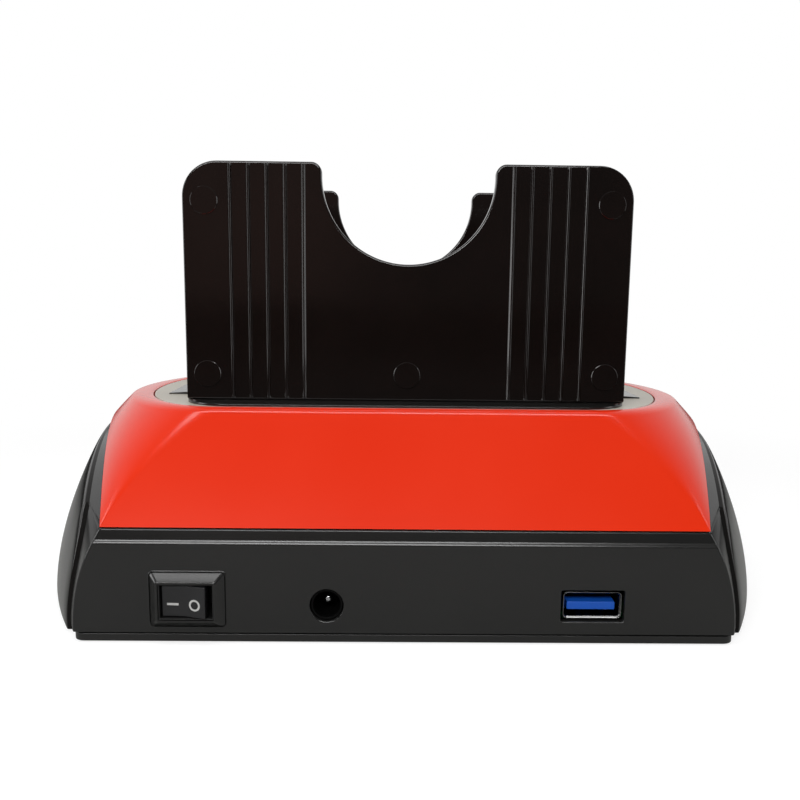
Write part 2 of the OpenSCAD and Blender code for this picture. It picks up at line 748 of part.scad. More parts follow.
tongue_usb = [11.1, 8.4, 1.9];
usb_back_t = 4;
tongue_front = -usb_front + usb_len - usb_back_t - tongue_usb[1];
usb_pitch = 2.5;
tongue_low = usb_z - tongue_usb[2] / 2 - 0.6;
usb_contact = [1, 7.2];
module usb_shell() {
    color(steel)
        translate([usb_x, -usb_front, usb_z])
            difference() {
                translate([-usb_w / 2, 0, -usb_h / 2])
                    cube([usb_w, usb_len, usb_h]);
                translate([-usb_w / 2 + usb_wall, -1, -usb_h / 2 + usb_wall])
                    cube([usb_w - 2 * usb_wall, usb_len - usb_back_t + 1, usb_h - 2 * usb_wall]);
            }
}
module usb_tongue() {
    color("#1460c8")
        translate([usb_x - tongue_usb[0] / 2, tongue_front, tongue_low])
            cube(tongue_usb);
}
module usb_contacts() {
    color(gold)
        for (i = [-1.5:1:1.5])
            translate([usb_x + i * usb_pitch, tongue_front + tongue_usb[1] / 2, tongue_low])
                translate([-usb_contact[0] / 2, -usb_contact[1] / 2, -contact_t])
                    cube([usb_contact[0], usb_contact[1], contact_t]);
}

module power_jack_body() {
    color("#111111")
        translate([jack_x, -half_depth, jack_z])
            difference() {
                union() {
                    translate([-jack_w / 2, jack_block_in, -jack_w / 2])
                        cube([jack_w, jack_len, jack_w + 1]);
                    translate([0, jack_nose_in, 0])
                        rotate([-90, 0, 0])
                            cylinder(d = jack_nose_d, h = jack_block_in - jack_nose_in + 1);
                }
                translate([0, -1, 0])
                    rotate([-90, 0, 0])
                        cylinder(d = jack_bore_d, h = jack_bore_l + 1);
                translate([0, 1, 0])
                    rotate([-90, 0, 0])
                        cylinder(d = jack_pin_d, h = jack_len + 4);
            }
}
module power_jack_pin() {
    color(steel)
        translate([jack_x, -half_depth + jack_pin_in, jack_z])
            rotate([-90, 0, 0])
                cylinder(d = jack_pin_d, h = jack_block_in + jack_len - jack_pin_in);
}

// Block that fits the switch opening, inset all round, running forward from its back face
module case_block(inset, run) {
    translate([-switch_hole[0] / 2 + inset, -run, -switch_hole[1] / 2 + inset])
        cube([switch_hole[0] - 2 * inset, run, switch_hole[1] - 2 * inset]);
}
module switch_housing() {
    color("#141414")
        translate([switch_x, -half_depth, switch_z])
            difference() {
                translate([0, switch_back, 0])
                    case_block(switch_case_gap, switch_back + switch_lip);
                translate([0, switch_back - switch_floor, 0])
                    case_block(switch_case_wall, switch_back + switch_frame_h);
                translate([0, half_depth - rocker_pivot_y, 0])
                    cylinder(d = rocker_pin_d + 0.1, h = switch_hole[1] + 1, center = true);
            }
}
// Rocker at its middle stance: two faces that meet in a shallow valley, round behind the pins
rocker_out = 2.6;
rocker_end_out = 3.2;
rocker_back_r = 3.4;
rocker_side_in = 0.3;
rocker_side_back = 0.6;
rocker_pin_l = rocker_h + 2 * rocker_gap + switch_case_wall;
module rocker_outline() {
    half = rocker_w / 2;
    low = half - rocker_side_in;
    polygon(concat(
        [[-half, -rocker_end_out], [0, -rocker_out], [half, -rocker_end_out], [low, -rocker_side_back]],
        arc(0, 0, rocker_back_r, 0, 180, 16),
        [[-low, -rocker_side_back]]));
}
module switch_rocker() {
    color("#1c1c1e")
        translate([switch_x, -rocker_pivot_y, switch_z])
            rotate([0, 0, -rocker_swing / 2])
                union() {
                    translate([0, 0, -rocker_h / 2])
                        linear_extrude(rocker_h)
                            rocker_outline();
                    cylinder(d = rocker_pin_d, h = rocker_pin_l, center = true);
                }
}
terminal = [0.8, 6, 4.8];
module switch_terminals() {
    color(steel)
        for (dx = [-3, 3])
            translate([switch_x + dx - terminal[0] / 2, switch_back - half_depth, switch_z - terminal[2] / 2])
                cube(terminal);
}
lead_d = 1.4;
module switch_leads() {
    end_y = switch_back - half_depth + terminal[1] - lead_d;
    color("#a01818")
        for (dx = [-3, 3])
            translate([switch_x + dx + terminal[0] / 2 + lead_d / 2, end_y, board_z])
                cylinder(d = lead_d, h = switch_z + terminal[2] / 2 - board_z, $fn = 24);
}

module along_y(x, y, z) {
    translate([x, y, z])
        rotate([-90, 0, 0])
            children();
}
button_flange = 1.2;
button_back = half_depth - shell_wall - gap - button_flange;
tact_front = board_half_y - 2;
tact_depth = 3.5;
tact_w = 6;
plunger_d = 3.2;
module clone_button() {
    color(black_gloss)
        union() {
            along_y(button_x, button_back, button_z)
                cylinder(d = button_d, h = half_depth + button_proud - button_back);
            along_y(button_x, button_back, button_z)
                cylinder(d = button_d + 2, h = button_flange);
        }
}
module button_switch() {
    color("#202020")
        difference() {
            box(button_x - tact_w / 2, button_x + tact_w / 2, tact_front - tact_depth, tact_front,
                board_z, button_z + tact_w / 2);
            along_y(button_x, tact_front - 2.2, button_z)
                cylinder(d = plunger_d + 0.1, h = 5);
        }
}
module button_plunger() {
    color("#b8b4a8")
        along_y(button_x, tact_front - 2.2 + button_travel + gap, button_z)
            cylinder(d = plunger_d, h = button_back - tact_front + 2.2 - button_travel - gap);
}
module status_leds() {
    color("#e8e4d0")
        for (x = pipe_x)
            box(x - 1.6, x + 1.6, board_half_y - 2.4, board_half_y - 0.2, board_z, pipe_z + 1.2);
}
module light_pipes() {
    color("#dfe6ea")
        for (x = pipe_x)
            along_y(x, board_half_y, pipe_z)
                cylinder(d = pipe_d, h = half_depth + 0.3 - board_half_y);
}

module feet() {
    color("#1a1a1a")
        four(foot_place)
            cylinder(d = foot_d, h = foot_h + foot_pocket);
}
module base_screws() {
    color(steel)
        four(cover_post)
            translate([0, 0, foot_h]) {
                cylinder(d = base_screw_head_d, h = base_screw_head_h);
                cylinder(d = base_screw_d, h = base_screw_l);
            }
}
module board_screws() {
    color(steel)
        four(board_hole) {
            translate([0, 0, board_z])
                cylinder(d = board_screw_head_d, h = board_screw_head_h);
            translate([0, 0, tray_top])
                cylinder(d = board_screw_d, h = board_z - tray_top + 0.2);
        }
}

base_tray();
body_shell();
top_cover();
side_cheek_left();
side_cheek_right();
top_panel();
bay_insert();
rear_guide_plate();
front_guide_plate();
rear_flap();
front_flap();
rear_flap_pin();
front_flap_pin();
rear_flap_spring();
front_flap_spring();
main_board();
bridge_chip();
crystal();
capacitors();
power_coil();
rear_sata_socket();
front_sata_socket();
sata_contacts();
usb_shell();
usb_tongue();
usb_contacts();
power_jack_body();
power_jack_pin();
switch_housing();
switch_rocker();
switch_terminals();
switch_leads();
clone_button();
button_switch();
button_plunger();
status_leds();
light_pipes();
feet();
base_screws();
board_screws();
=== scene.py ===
import math
import bmesh
import bpy
from mathutils import Matrix, Vector


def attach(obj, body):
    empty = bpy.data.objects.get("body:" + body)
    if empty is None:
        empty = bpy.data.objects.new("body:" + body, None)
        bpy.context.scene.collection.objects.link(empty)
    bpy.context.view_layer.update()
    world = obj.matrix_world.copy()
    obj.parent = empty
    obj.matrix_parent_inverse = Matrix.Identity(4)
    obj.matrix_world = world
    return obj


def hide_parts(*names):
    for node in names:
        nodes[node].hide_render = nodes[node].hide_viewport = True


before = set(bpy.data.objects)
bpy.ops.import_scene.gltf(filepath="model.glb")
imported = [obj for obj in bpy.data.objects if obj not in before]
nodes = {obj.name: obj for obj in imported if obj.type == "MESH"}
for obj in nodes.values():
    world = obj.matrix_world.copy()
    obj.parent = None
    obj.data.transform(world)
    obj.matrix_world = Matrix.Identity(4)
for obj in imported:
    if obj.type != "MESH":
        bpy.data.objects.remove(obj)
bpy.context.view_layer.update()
print("frame loaded with", len(nodes), "nodes")

scene = bpy.context.scene
scene.view_settings.view_transform = "Standard"
# Lengths in metres: one millimetre, and how near points are merged in new meshes and in CAD copies
mm = 0.001
weldNew = 1e-6
weldCad = 2e-6


def linear(hexColour):
    values = [int(hexColour[i:i + 2], 16) / 255 for i in (1, 3, 5)]
    return tuple(v / 12.92 if v <= 0.04045 else ((v + 0.055) / 1.055) ** 2.4 for v in values) + (1.0,)


# A new node. An input is a value, a socket, or a node that stands for its first output.
def addNode(tree, kind, settings=None, inputs=None):
    node = tree.nodes.new(kind)
    for key, value in (settings or {}).items():
        setattr(node, key, value)
    for key, value in (inputs or {}).items():
        if isinstance(value, bpy.types.Node):
            value = value.outputs[0]
        if isinstance(value, bpy.types.NodeSocket):
            tree.links.new(value, node.inputs[key])
        else:
            node.inputs[key].default_value = value
    return node


def freshTree(owner):
    owner.use_nodes = True
    owner.node_tree.nodes.clear()
    return owner.node_tree


# Finishes. A pattern of g millimetres has the noise scale 1000 / g, because objects are in metres.
noise = dict(flowDetail=3.0, flowRough=0.55, grainDetail=2.0, grainRough=0.5, glossLow=0.85, glossHigh=1.15)


def makeFinish(name, look):
    material = bpy.data.materials.new(name)
    tree = freshTree(material)
    place = addNode(tree, "ShaderNodeTexCoord").outputs["Object"]
    flow = addNode(tree, "ShaderNodeTexNoise", None, {
        "Vector": place, "Scale": 1000 / look["flowMm"], "Detail": noise["flowDetail"],
        "Roughness": noise["flowRough"]})
    grain = addNode(tree, "ShaderNodeTexNoise", None, {
        "Vector": place, "Scale": 1000 / look["grainMm"], "Detail": noise["grainDetail"],
        "Roughness": noise["grainRough"]})
    colour = addNode(tree, "ShaderNodeMix", {"data_type": "RGBA"}, {
        0: flow.outputs["Fac"], 6: linear(look["dark"]), 7: linear(look["light"])})
    rough = addNode(tree, "ShaderNodeMapRange", None, {
        "Value": flow.outputs["Fac"], "To Min": look["rough"] * noise["glossLow"],
        "To Max": look["rough"] * noise["glossHigh"]})
    bump = addNode(tree, "ShaderNodeBump", None, {
        "Height": grain.outputs["Fac"], "Strength": look["bump"], "Distance": look.get("bumpMm", 0.01) * mm})
    shader = addNode(tree, "ShaderNodeBsdfPrincipled", None, {
        "Base Color": colour.outputs[2], "Roughness": rough,
        "Normal": bump.outputs["Normal"]})
    shader.inputs["IOR"].default_value = look.get("ior", 1.53)
    shader.inputs["Metallic"].default_value = look.get("metallic", 0.0)
    shader.inputs["Coat Weight"].default_value = look.get("coat", 0.0)
    shader.inputs["Coat Roughness"].default_value = look.get("coatRough", 0.03)
    shader.inputs["Transmission Weight"].default_value = look.get("clear", 0.0)
    addNode(tree, "ShaderNodeOutputMaterial", None, {"Surface": shader.outputs["BSDF"]})
    material.diffuse_color = linear(look["light"])
    return material


metal = dict(metallic=1.0, ior=1.5)
sheet = dict(flowMm=3, grainMm=0.5, **metal)
finishes = {
    # Painted and lacquered ABS: deep colour under a clear coat, a faint orange peel
    "lacqueredRedAbs": dict(dark="#dc2a0a", light="#e4310e", rough=0.2, flowMm=40, grainMm=1.6, bump=0.04,
        bumpMm=0.05, coat=0.25, coatRough=0.16, ior=1.45),
    # Moulded ABS from a fine satin tool: dark grey with a wide soft sheen
    "satinBlackAbs": dict(dark="#181818", light="#1e1e1d", rough=0.25, flowMm=30, grainMm=0.7, bump=0.12,
        bumpMm=0.03),
    # Moulded ABS from a polished tool: black with clear reflections
    "polishedBlackAbs": dict(dark="#141312", light="#191817", rough=0.16, flowMm=25, grainMm=1.5, bump=0.04,
        bumpMm=0.03),
    # Polycarbonate from a mirror tool: nearly black, a trace of brown, flow marks in the gloss
    "smokedPolycarbonate": dict(dark="#0d0908", light="#17100e", rough=0.1, flowMm=18, grainMm=4.0,
        bump=0.05, bumpMm=0.06, ior=1.58),
    # Moulded ABS in warm grey with a spark-eroded grain
    "grainedGreyAbs": dict(dark="#b3ada1", light="#bdb7ab", rough=0.42, flowMm=20, grainMm=0.6, bump=0.15,
        bumpMm=0.03),
    # Glass-filled nylon: dull black
    "filledNylon": dict(dark="#101010", light="#171717", rough=0.5, flowMm=6, grainMm=0.35,
        bump=0.15, bumpMm=0.02),
    # Nylon of the power jack, darkened and with its sheen lowered as painted shade for the inside of its
    # hole: a deep black that hardly shines
    "shadeBlackNylon": dict(dark="#030303", light="#050505", rough=0.6, flowMm=4, grainMm=0.3,
        bump=0.08, bumpMm=0.02, ior=1.2),
    # Nylon rocker: black with a soft sheen
    "rockerNylon": dict(dark="#1a1a1b", light="#202022", rough=0.32, flowMm=5, grainMm=0.4,
        bump=0.1, bumpMm=0.02),
    # Pad-printed ink: flat off-white
    "paleInk": dict(dark="#b9b9b7", light="#c4c4c2", rough=0.5, flowMm=2, grainMm=0.3, bump=0.08),
    # Nickel-plated sheet steel: bright with faint drawing marks
    "nickelSheet": dict(dark="#b9bbbd", light="#cfd1d3", rough=0.2, bump=0.08, **sheet),
    # Nickel of the USB shell and fingers, darkened as painted shade for the inside of the socket: dark grey
    # with clear reflections
    "shadeDarkNickel": dict(dark="#3e3e3e", light="#4a4a4a", rough=0.18, bump=0.06, **sheet),
    # Nickel at the USB shell's mouth, lightened as a painted highlight on its lower and right edges: brighter
    # than the shell
    "highlightNickel": dict(dark="#767676", light="#828282", rough=0.2, bump=0.06, **sheet),
    # Zinc-plated steel of screws, pins and springs: cool grey with a soft shine
    "zincSteel": dict(dark="#9a9da0", light="#b4b7ba", rough=0.3, flowMm=2, grainMm=0.4, bump=0.1, **metal),
    # Gold flash over bronze on the contacts: warm yellow metal
    "goldFlash": dict(dark="#c79a45", light="#dab25c", rough=0.22, flowMm=1.5, grainMm=0.3,
        bump=0.05, **metal),
    # Liquid crystal polymer of the USB tongue: bright blue and matt
    "blueLcp": dict(dark="#0650b8", light="#0a5ac6", rough=0.5, flowMm=4, grainMm=0.4, bump=0.08),
    # Solder mask over glass fibre: green gloss with the weave just showing
    "solderMask": dict(dark="#17512e", light="#1f6a3d", rough=0.25, flowMm=7, grainMm=0.8,
        bump=0.1, bumpMm=0.02),
    # Epoxy moulding compound of chips and coils: matt and nearly black
    "mouldCompound": dict(dark="#17171a", light="#222226", rough=0.55, flowMm=3, grainMm=0.25, bump=0.2),
    # Aluminium cans of the capacitors: pale grey metal
    "drawnAluminium": dict(dark="#b8babd", light="#cccfd2", rough=0.28, bump=0.05, **sheet),
    # PVC sleeve of the leads: plain red with a soft shine
    "redPvc": dict(dark="#9c1515", light="#b11d1b", rough=0.4, flowMm=3, grainMm=0.4, bump=0.08),
    # Acetal plunger: ivory and waxy
    "ivoryAcetal": dict(dark="#c4bfb0", light="#d2cdbf", rough=0.35, flowMm=3, grainMm=0.4, bump=0.06),
    # Clear acrylic of the light pipes: see-through with sharp reflections
    "clearAcrylic": dict(dark="#dfe7ea", light="#eef4f6", rough=0.08, flowMm=4, grainMm=1.0,
        bump=0.03, clear=0.85, ior=1.49),
    # Soft rubber feet: black and dull
    "dullRubber": dict(dark="#131313", light="#1c1c1c", rough=0.75, flowMm=4, grainMm=0.4,
        bump=0.25, bumpMm=0.03),
}
paint = {name: makeFinish(name, look) for name, look in finishes.items()}
print("finishes made:", len(paint))


# Shared mesh helpers; all sizes below are in millimetres
def newObject(name, mesh, finish):
    piece = bpy.data.objects.new(name, mesh)
    scene.collection.objects.link(piece)
    mesh.materials.clear()
    mesh.materials.append(paint[finish])
    return piece


def meshPiece(name, verts, faces, finish):
    mesh = bpy.data.meshes.new(name)
    mesh.from_pydata([Vector(v) * mm for v in verts], [], faces)
    work = bmesh.new()
    work.from_mesh(mesh)
    bmesh.ops.remove_doubles(work, verts=work.verts, dist=weldNew)
    bmesh.ops.recalc_face_normals(work, faces=work.faces)
    work.to_mesh(mesh)
    work.free()
    return newObject(name, mesh, finish)


def smoothFaces(piece, sharpAngle=None):
    for face in piece.data.polygons:
        face.use_smooth = True
    if sharpAngle:
        piece.data.set_sharp_from_angle(angle=math.radians(sharpAngle))


def soften(piece, width, angle=30, segments=2, clamp=True):
    smoothFaces(piece)
    bevel = piece.modifiers.new("edges", "BEVEL")
    bevel.width = width * mm
    bevel.segments = segments
    bevel.limit_method = "ANGLE"
    bevel.angle_limit = math.radians(angle)
    bevel.use_clamp_overlap = clamp
    normals = piece.modifiers.new("normals", "WEIGHTED_NORMAL")
    normals.keep_sharp = True


def settle(piece):
    graph = bpy.context.evaluated_depsgraph_get()
    mesh = bpy.data.meshes.new_from_object(piece.evaluated_get(graph))
    piece.modifiers.clear()
    piece.data = mesh
    return piece


def seat(piece, body, slotName, *standsFor):
    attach(piece, body)
    if standsFor:
        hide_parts(*standsFor)


# A merged copy of a CAD node with its edges eased
def easedCopy(node, name, finish, width):
    mesh = nodes[node].data.copy()
    mesh.name = name
    work = bmesh.new()
    work.from_mesh(mesh)
    bmesh.ops.remove_doubles(work, verts=work.verts, dist=weldCad)
    bmesh.ops.dissolve_limit(work, angle_limit=math.radians(1), verts=work.verts, edges=work.edges)
    work.to_mesh(mesh)
    work.free()
    piece = newObject(name, mesh, finish)
    if width:
        soften(piece, width)
    return piece


def lerp(a, b, t):
    return a + (b - a) * t


def blockMesh(low, high):
    (x0, y0, z0), (x1, y1, z1) = low, high
    verts = [(x, y, z) for z in (z0, z1) for y in (y0, y1) for x in (x0, x1)]
    return verts, [(0, 2, 3, 1), (4, 5, 7, 6), (0, 1, 5, 4), (2, 6, 7, 3), (0, 4, 6, 2), (1, 3, 7, 5)]


def joinMeshes(*parts):
    verts, faces = [], []
    for partVerts, partFaces in parts:
        start = len(verts)
        verts += list(partVerts)
        faces += [tuple(i + start for i in face) for face in partFaces]
    return verts, faces


# Faces of a skin over rings of points, one ring after another, and of its two ends
def bandFaces(count, rings, closed=False):
    faces = []
    for i in range(rings if closed else rings - 1):
        low, high = i * count, (i + 1) % rings * count
        for k in range(count):
            after = (k + 1) % count
            faces.append((low + k, low + after, high + after, high + k))
    return faces


def endFaces(count, rings):
    last = (rings - 1) * count
    return [tuple(range(count - 1, -1, -1)), tuple(range(last, last + count))]


# A profile of (radius, height) points turned about an upright axis
def spinMesh(profile, cx=0, cy=0, steps=32):
    verts = [(cx + r * math.cos(2 * math.pi * k / steps), cy + r * math.sin(2 * math.pi * k / steps), z)
             for r, z in profile if r > 0 for k in range(steps)]
    rings = len(verts) // steps
    return verts, bandFaces(steps, rings) + [face[::-1] for face in endFaces(steps, rings)]


# Closed skin over a loop of sections, as on the CAD housing and cover
def loopMesh(loop):
    return [point for section in loop for point in section], bandFaces(len(loop[0]), len(loop), True)


# Curves of the housing, the cheeks and the cover
body = dict(halfDepth=58.5, panelHalfW=75.5, panelLean=7, seamZ=26.5, archZ=45.5, archHalfW=81, wall=2.0,
            bandH=3.1, bandIn=0.9, bandStep=0.5, seamGap=0.3, footZ=3, trayTop=2.3, coverBend=15)
cheek = dict(halfW=96, roundY=15, roundAtY=50, roundZ=13.8, roundAtZ=40, swell=1.66, bend=80, thick=2.2,
             groove=1.0, seatIn=2.5, footZ=0.7, footShare=0.8, edge=0.2, edgeR=3, edgeDrop=0.5, cols=64,
             rows=34)
groove = dict(footIn=4.5, cornerIn=12, topIn=1.2, cornerUp=3, power=4)
archRise = body["archZ"] - body["seamZ"]
archR = ((body["halfDepth"] - body["bandIn"]) ** 2 + archRise ** 2) / (2 * archRise)
grooveFoot = body["halfDepth"] - groove["footIn"]
grooveCorner = body["halfDepth"] - groove["cornerIn"]
grooveTop = body["archZ"] - groove["topIn"]
grooveRise = grooveTop - body["seamZ"] - groove["cornerUp"]
grooveR = (grooveCorner ** 2 + grooveRise ** 2) / (2 * grooveRise)
panelR = ((body["seamZ"] - body["footZ"]) ** 2 + body["panelLean"] ** 2) / (2 * body["panelLean"])


def arch(y):
    return body["archZ"] - archR + math.sqrt(archR ** 2 - y ** 2)


def grooveArch(y):
    return grooveTop - grooveR + math.sqrt(grooveR ** 2 - y ** 2)


def panelEdge(z):
    h = max(z - body["footZ"], 0)
    return body["panelHalfW"] - panelR + math.sqrt(panelR ** 2 - h ** 2)


def crown(y, bend):
    return math.sqrt(1 + (y / bend) ** 2) - 1


def coverEdge(y):
    drop = body["archHalfW"] - body["panelHalfW"] + body["panelLean"]
    bend = body["coverBend"]
    return body["archHalfW"] - drop * crown(y, bend) / crown(body["halfDepth"], bend)


def cheekX(y, z):
    bend, h = cheek["bend"], max(z - body["footZ"], 0)
    return (cheek["halfW"] - cheek["roundY"] * crown(y, bend) / crown(cheek["roundAtY"], bend)
            - cheek["roundZ"] * (h / cheek["roundAtZ"]) ** cheek["swell"])


def faceY(t, s, inset):
    return t * (lerp(grooveFoot, grooveCorner, s ** groove["power"]) - inset)


def faceZ(y, s, foot, inset):
    return foot + s * (grooveArch(min(abs(y), grooveCorner)) - inset - foot)


# Black housing. Its openings have a place in x and z, then a width, height and corner radius or a diameter.
housing = dict(cols=48, rows=17, panelCols=6, lipIn=0.9, archIn=1.0, bandOut=0.4, bandFall=0.5, bandSpan=8,
               edge=0.35, edgeAngle=32, flatCos=0.9999, flatAngle=0.5)
openings = dict(switch=(-49.3, 10.4, 12.6, 8.6, 0.4), usb=(42.6, 9.2, 14.5, 7.4, 0.5), jack=(-18, 9, 7.6),
                button=(40, 9.7, 9.6), pipes=((-12, 8.0, 3.0), (0, 8.0, 3.0), (12, 8.0, 3.0)), deep=6)
surround = dict(size=(17.2, 12.9), footR=0.9, crestR=0.5, back=0.5, step=0.6, proud=2.7, lip=0.3)


def panelSection(f, side):
    bandLow = body["seamZ"] - body["bandH"]
    levels = [lerp(body["trayTop"], bandLow, k / (housing["rows"] - 1)) for k in range(housing["rows"])]
    y0, w, top = body["halfDepth"], body["wall"], body["seamZ"]
    middle = bandLow + body["bandStep"]
    outer = [(f * panelEdge(z), -side * y0, z) for z in levels]
    band = [(f * panelEdge(middle), -side * (y0 - body["bandStep"]), middle),
            (f * panelEdge(top), -side * (y0 - body["bandIn"]), top),
            (f * (panelEdge(top) - w), -side * (y0 - body["bandIn"] - w), top)]
    return outer + band + [(f * (panelEdge(z) - w), -side * (y0 - w), z) for z in reversed(levels)]


def endSection(side, t, deep, archY, inY, out):
    w, last = body["wall"], housing["rows"] - 1
    section = []
    for k in range(housing["rows"]):
        s = (1 - out / housing["bandSpan"]) * k / last
        y = faceY(t, s, 0)
        z = faceZ(y, s, body["trayTop"], 0)
        section.append((side * (cheekX(y, z) - deep), side * y, z))
    y = faceY(t, 1, -out)
    z = faceZ(y, 1, body["trayTop"], 0)
    section.append((side * (cheekX(y, z) - housing["lipIn"] - housing["bandFall"] * out), side * y, z))
    section.append((side * coverEdge(archY), side * archY, arch(archY)))
    y = archY * (1 - w / body["halfDepth"])
    section.append((side * (coverEdge(y) - w), side * y, arch(y)))
    for k in range(last, -1, -1):
        s = k / last
        y = faceY(t, s, inY)
        z = faceZ(y, s, body["trayTop"], s * w)
        section.append((side * (cheekX(y, z) - cheek["seatIn"] - w), side * y, z))
    return section


def housingEnd(side):
    n, w = housing["cols"], body["wall"]
    deep = housing["lipIn"] + housing["bandFall"] * housing["bandOut"]
    reach = body["halfDepth"] - housing["archIn"]
    loop = [endSection(side, -1, deep, -reach, w / 2, housing["bandOut"])]
    for i in range(n + 1):
        t = math.sin(math.radians(lerp(-90, 90, i / n)))
        loop.append(endSection(side, t, cheek["seatIn"], t * (reach - housing["archIn"]), w, 0))
    return loop + [endSection(side, 1, deep, reach, w / 2, housing["bandOut"])]


def panelWall(side):
    n = housing["panelCols"]
    return [panelSection(side * lerp(-1, 1, i / n), side) for i in range(n + 1)]


def frustum(low, high, y0, y1):
    verts = [(x, y0, z) for x, z in low] + [(x, y1, z) for x, z in high]
    return verts, bandFaces(len(low), 2) + endFaces(len(low), 2)


def roundedRing(cx, cz, width, height, radius, steps=6):
    ring = []
    for sx, sz, start in ((1, 1, 0), (-1, 1, 90), (-1, -1, 180), (1, -1, 270)):
        for k in range(steps + 1):
            a = math.radians(start + 90 * k / steps)
            ring.append((cx + sx * (width / 2 - radius) + radius * math.cos(a),
                         cz + sz * (height / 2 - radius) + radius * math.sin(a)))
    return ring


def discRing(cx, cz, diameter, steps=48):
    return [(cx + diameter / 2 * math.cos(2 * math.pi * k / steps),
             cz + diameter / 2 * math.sin(2 * math.pi * k / steps)) for k in range(steps)]


def cutWith(piece, tool, operation):
    step = piece.modifiers.new("cut", "BOOLEAN")
    step.operation = operation
    step.solver = "EXACT"
    step.object = tool
    settle(piece)
    bpy.data.objects.remove(tool)


def makeHousing():
    loop = panelWall(1) + housingEnd(1) + panelWall(-1) + housingEnd(-1)
    piece = meshPiece("housing", *loopMesh(loop), "satinBlackAbs")
    sx, sz, sw, sh = openings["switch"][:4]
    more, back = 2 * surround["lip"], surround["back"] - body["halfDepth"]
    stepY = back - surround["step"]
    frameLow = roundedRing(sx, sz, *surround["size"], surround["footR"])
    frameHigh = roundedRing(sx, sz, sw + more, sh + more, surround["crestR"])
    # the collar and the cone on it are one closed skin, without the two faces between them
    collar = frustum(frameLow, frameLow, back, stepY)
    cone = frustum(frameLow, frameHigh, stepY, back - surround["proud"])
    skin = joinMeshes((collar[0], collar[1][:-1]), (cone[0], cone[1][:-2] + cone[1][-1:]))
    cutWith(piece, meshPiece("collar", *skin, "satinBlackAbs"), "UNION")
    rings = [(roundedRing(*openings["switch"]), -1), (roundedRing(*openings["usb"]), -1),
             (discRing(*openings["jack"]), -1), (discRing(*openings["button"]), 1)]
    rings += [(discRing(*pipe, steps=32), 1) for pipe in openings["pipes"]]
    near, far = body["halfDepth"] - openings["deep"], body["halfDepth"] + openings["deep"]
    for ring, side in rings:
        tool = meshPiece("tool", *frustum(ring, ring, side * near, side * far), "satinBlackAbs")
        cutWith(piece, tool, "DIFFERENCE")
    # the flat panels become whole faces again, so that their edges take an even bevel
    work = bmesh.new()
    work.from_mesh(piece.data)
    bmesh.ops.remove_doubles(work, verts=work.verts, dist=weldCad)
    flat = [e for e in work.edges if len(e.link_faces) == 2
            and all(abs(f.normal.y) > housing["flatCos"] for f in e.link_faces)]
    bmesh.ops.dissolve_limit(work, angle_limit=math.radians(housing["flatAngle"]), edges=flat,
                             verts=list(dict.fromkeys(v for e in flat for v in e.verts)))
    work.to_mesh(piece.data)
    work.free()
    soften(piece, housing["edge"], housing["edgeAngle"], clamp=False)
    return piece


seat(makeHousing(), "dock", "black_housing", "body_shell")
print("housing made")


# Polished cheeks, rounded off at their edges
def roundOff(distance):
    k = 1 - min(max(distance, 0) / cheek["edgeR"], 1)
    return cheek["edgeDrop"] * (1 - math.sqrt(1 - k * k))


def makeCheek(name, side):
    cols, rows = cheek["cols"], cheek["rows"]
    verts = []
    for i in range(cols + 1):
        t = math.sin(math.radians(lerp(-90, 90, i / cols)))
        front, back = [], []
        for k in range(rows + 1):
            s = (1 - math.cos(math.pi * k / rows)) / 2
            y = faceY(t, s, cheek["groove"])
            z = faceZ(y, s, cheek["footZ"], cheek["groove"])
            top = (1 - s) * (grooveArch(min(abs(y), grooveCorner)) - cheek["footZ"])
            foot = s * (body["archZ"] - cheek["footZ"]) * cheek["footShare"]
            fall = roundOff(min((1 - abs(t)) * grooveFoot, top, foot))
            front.append((side * (cheekX(y, z) - fall), side * y, z))
            back.append((side * (cheekX(y, z) - cheek["thick"]), side * y, z))
        verts += front + back[::-1]
    count = 2 * (rows + 1)
    faces = bandFaces(count, cols + 1) + endFaces(count, cols + 1)
    piece = meshPiece(name, verts, faces, "polishedBlackAbs")
    soften(piece, cheek["edge"], angle=40)
    return piece


seat(makeCheek("cheekLeft", -1), "dock", "black_cheek", "side_cheek_left")
seat(makeCheek("cheekRight", 1), "dock", "black_cheek", "side_cheek_right")
print("cheeks made")

# Red cover: straight sides to an oval rim, round over the shoulder
cover = dict(rimZ=51.6, ovalL=69.5, ovalD=38.5, straight=46, wall=2.2, cols=72, sideCols=6, rimRound=0.95,
             rimRoundMore=0.09, swell=2.8, rimW=2.4, rimMore=3.2, rimGap=0.35, crestW=0.5, rimDrop=0.2,
             wallSteps=8, rimSteps=12, ledgeW=2.3, ledgeT=1.4, panelT=2.0, panelSink=0.1, sideIn=0.97,
             creaseR=1.5, edge=0.4)
post = dict(at=(63, 44), outer=7, bore=2.6, boreL=12, rise=2.2)
ledgeZ = cover["rimZ"] - cover["panelSink"] - cover["panelT"]
coverY = body["halfDepth"] - body["bandIn"]


def ovalSteps(phi):
    wide = cover["rimW"] + cover["rimMore"] * math.cos(math.radians(phi)) ** 2
    return -cover["ledgeW"], cover["rimGap"], cover["rimGap"] + cover["crestW"], wide


def ovalEnd(phi, more):
    a = math.radians(phi)
    return (cover["straight"] + (cover["ovalL"] - cover["straight"] + more) * math.cos(a),
            (cover["ovalD"] + more) * math.sin(a))


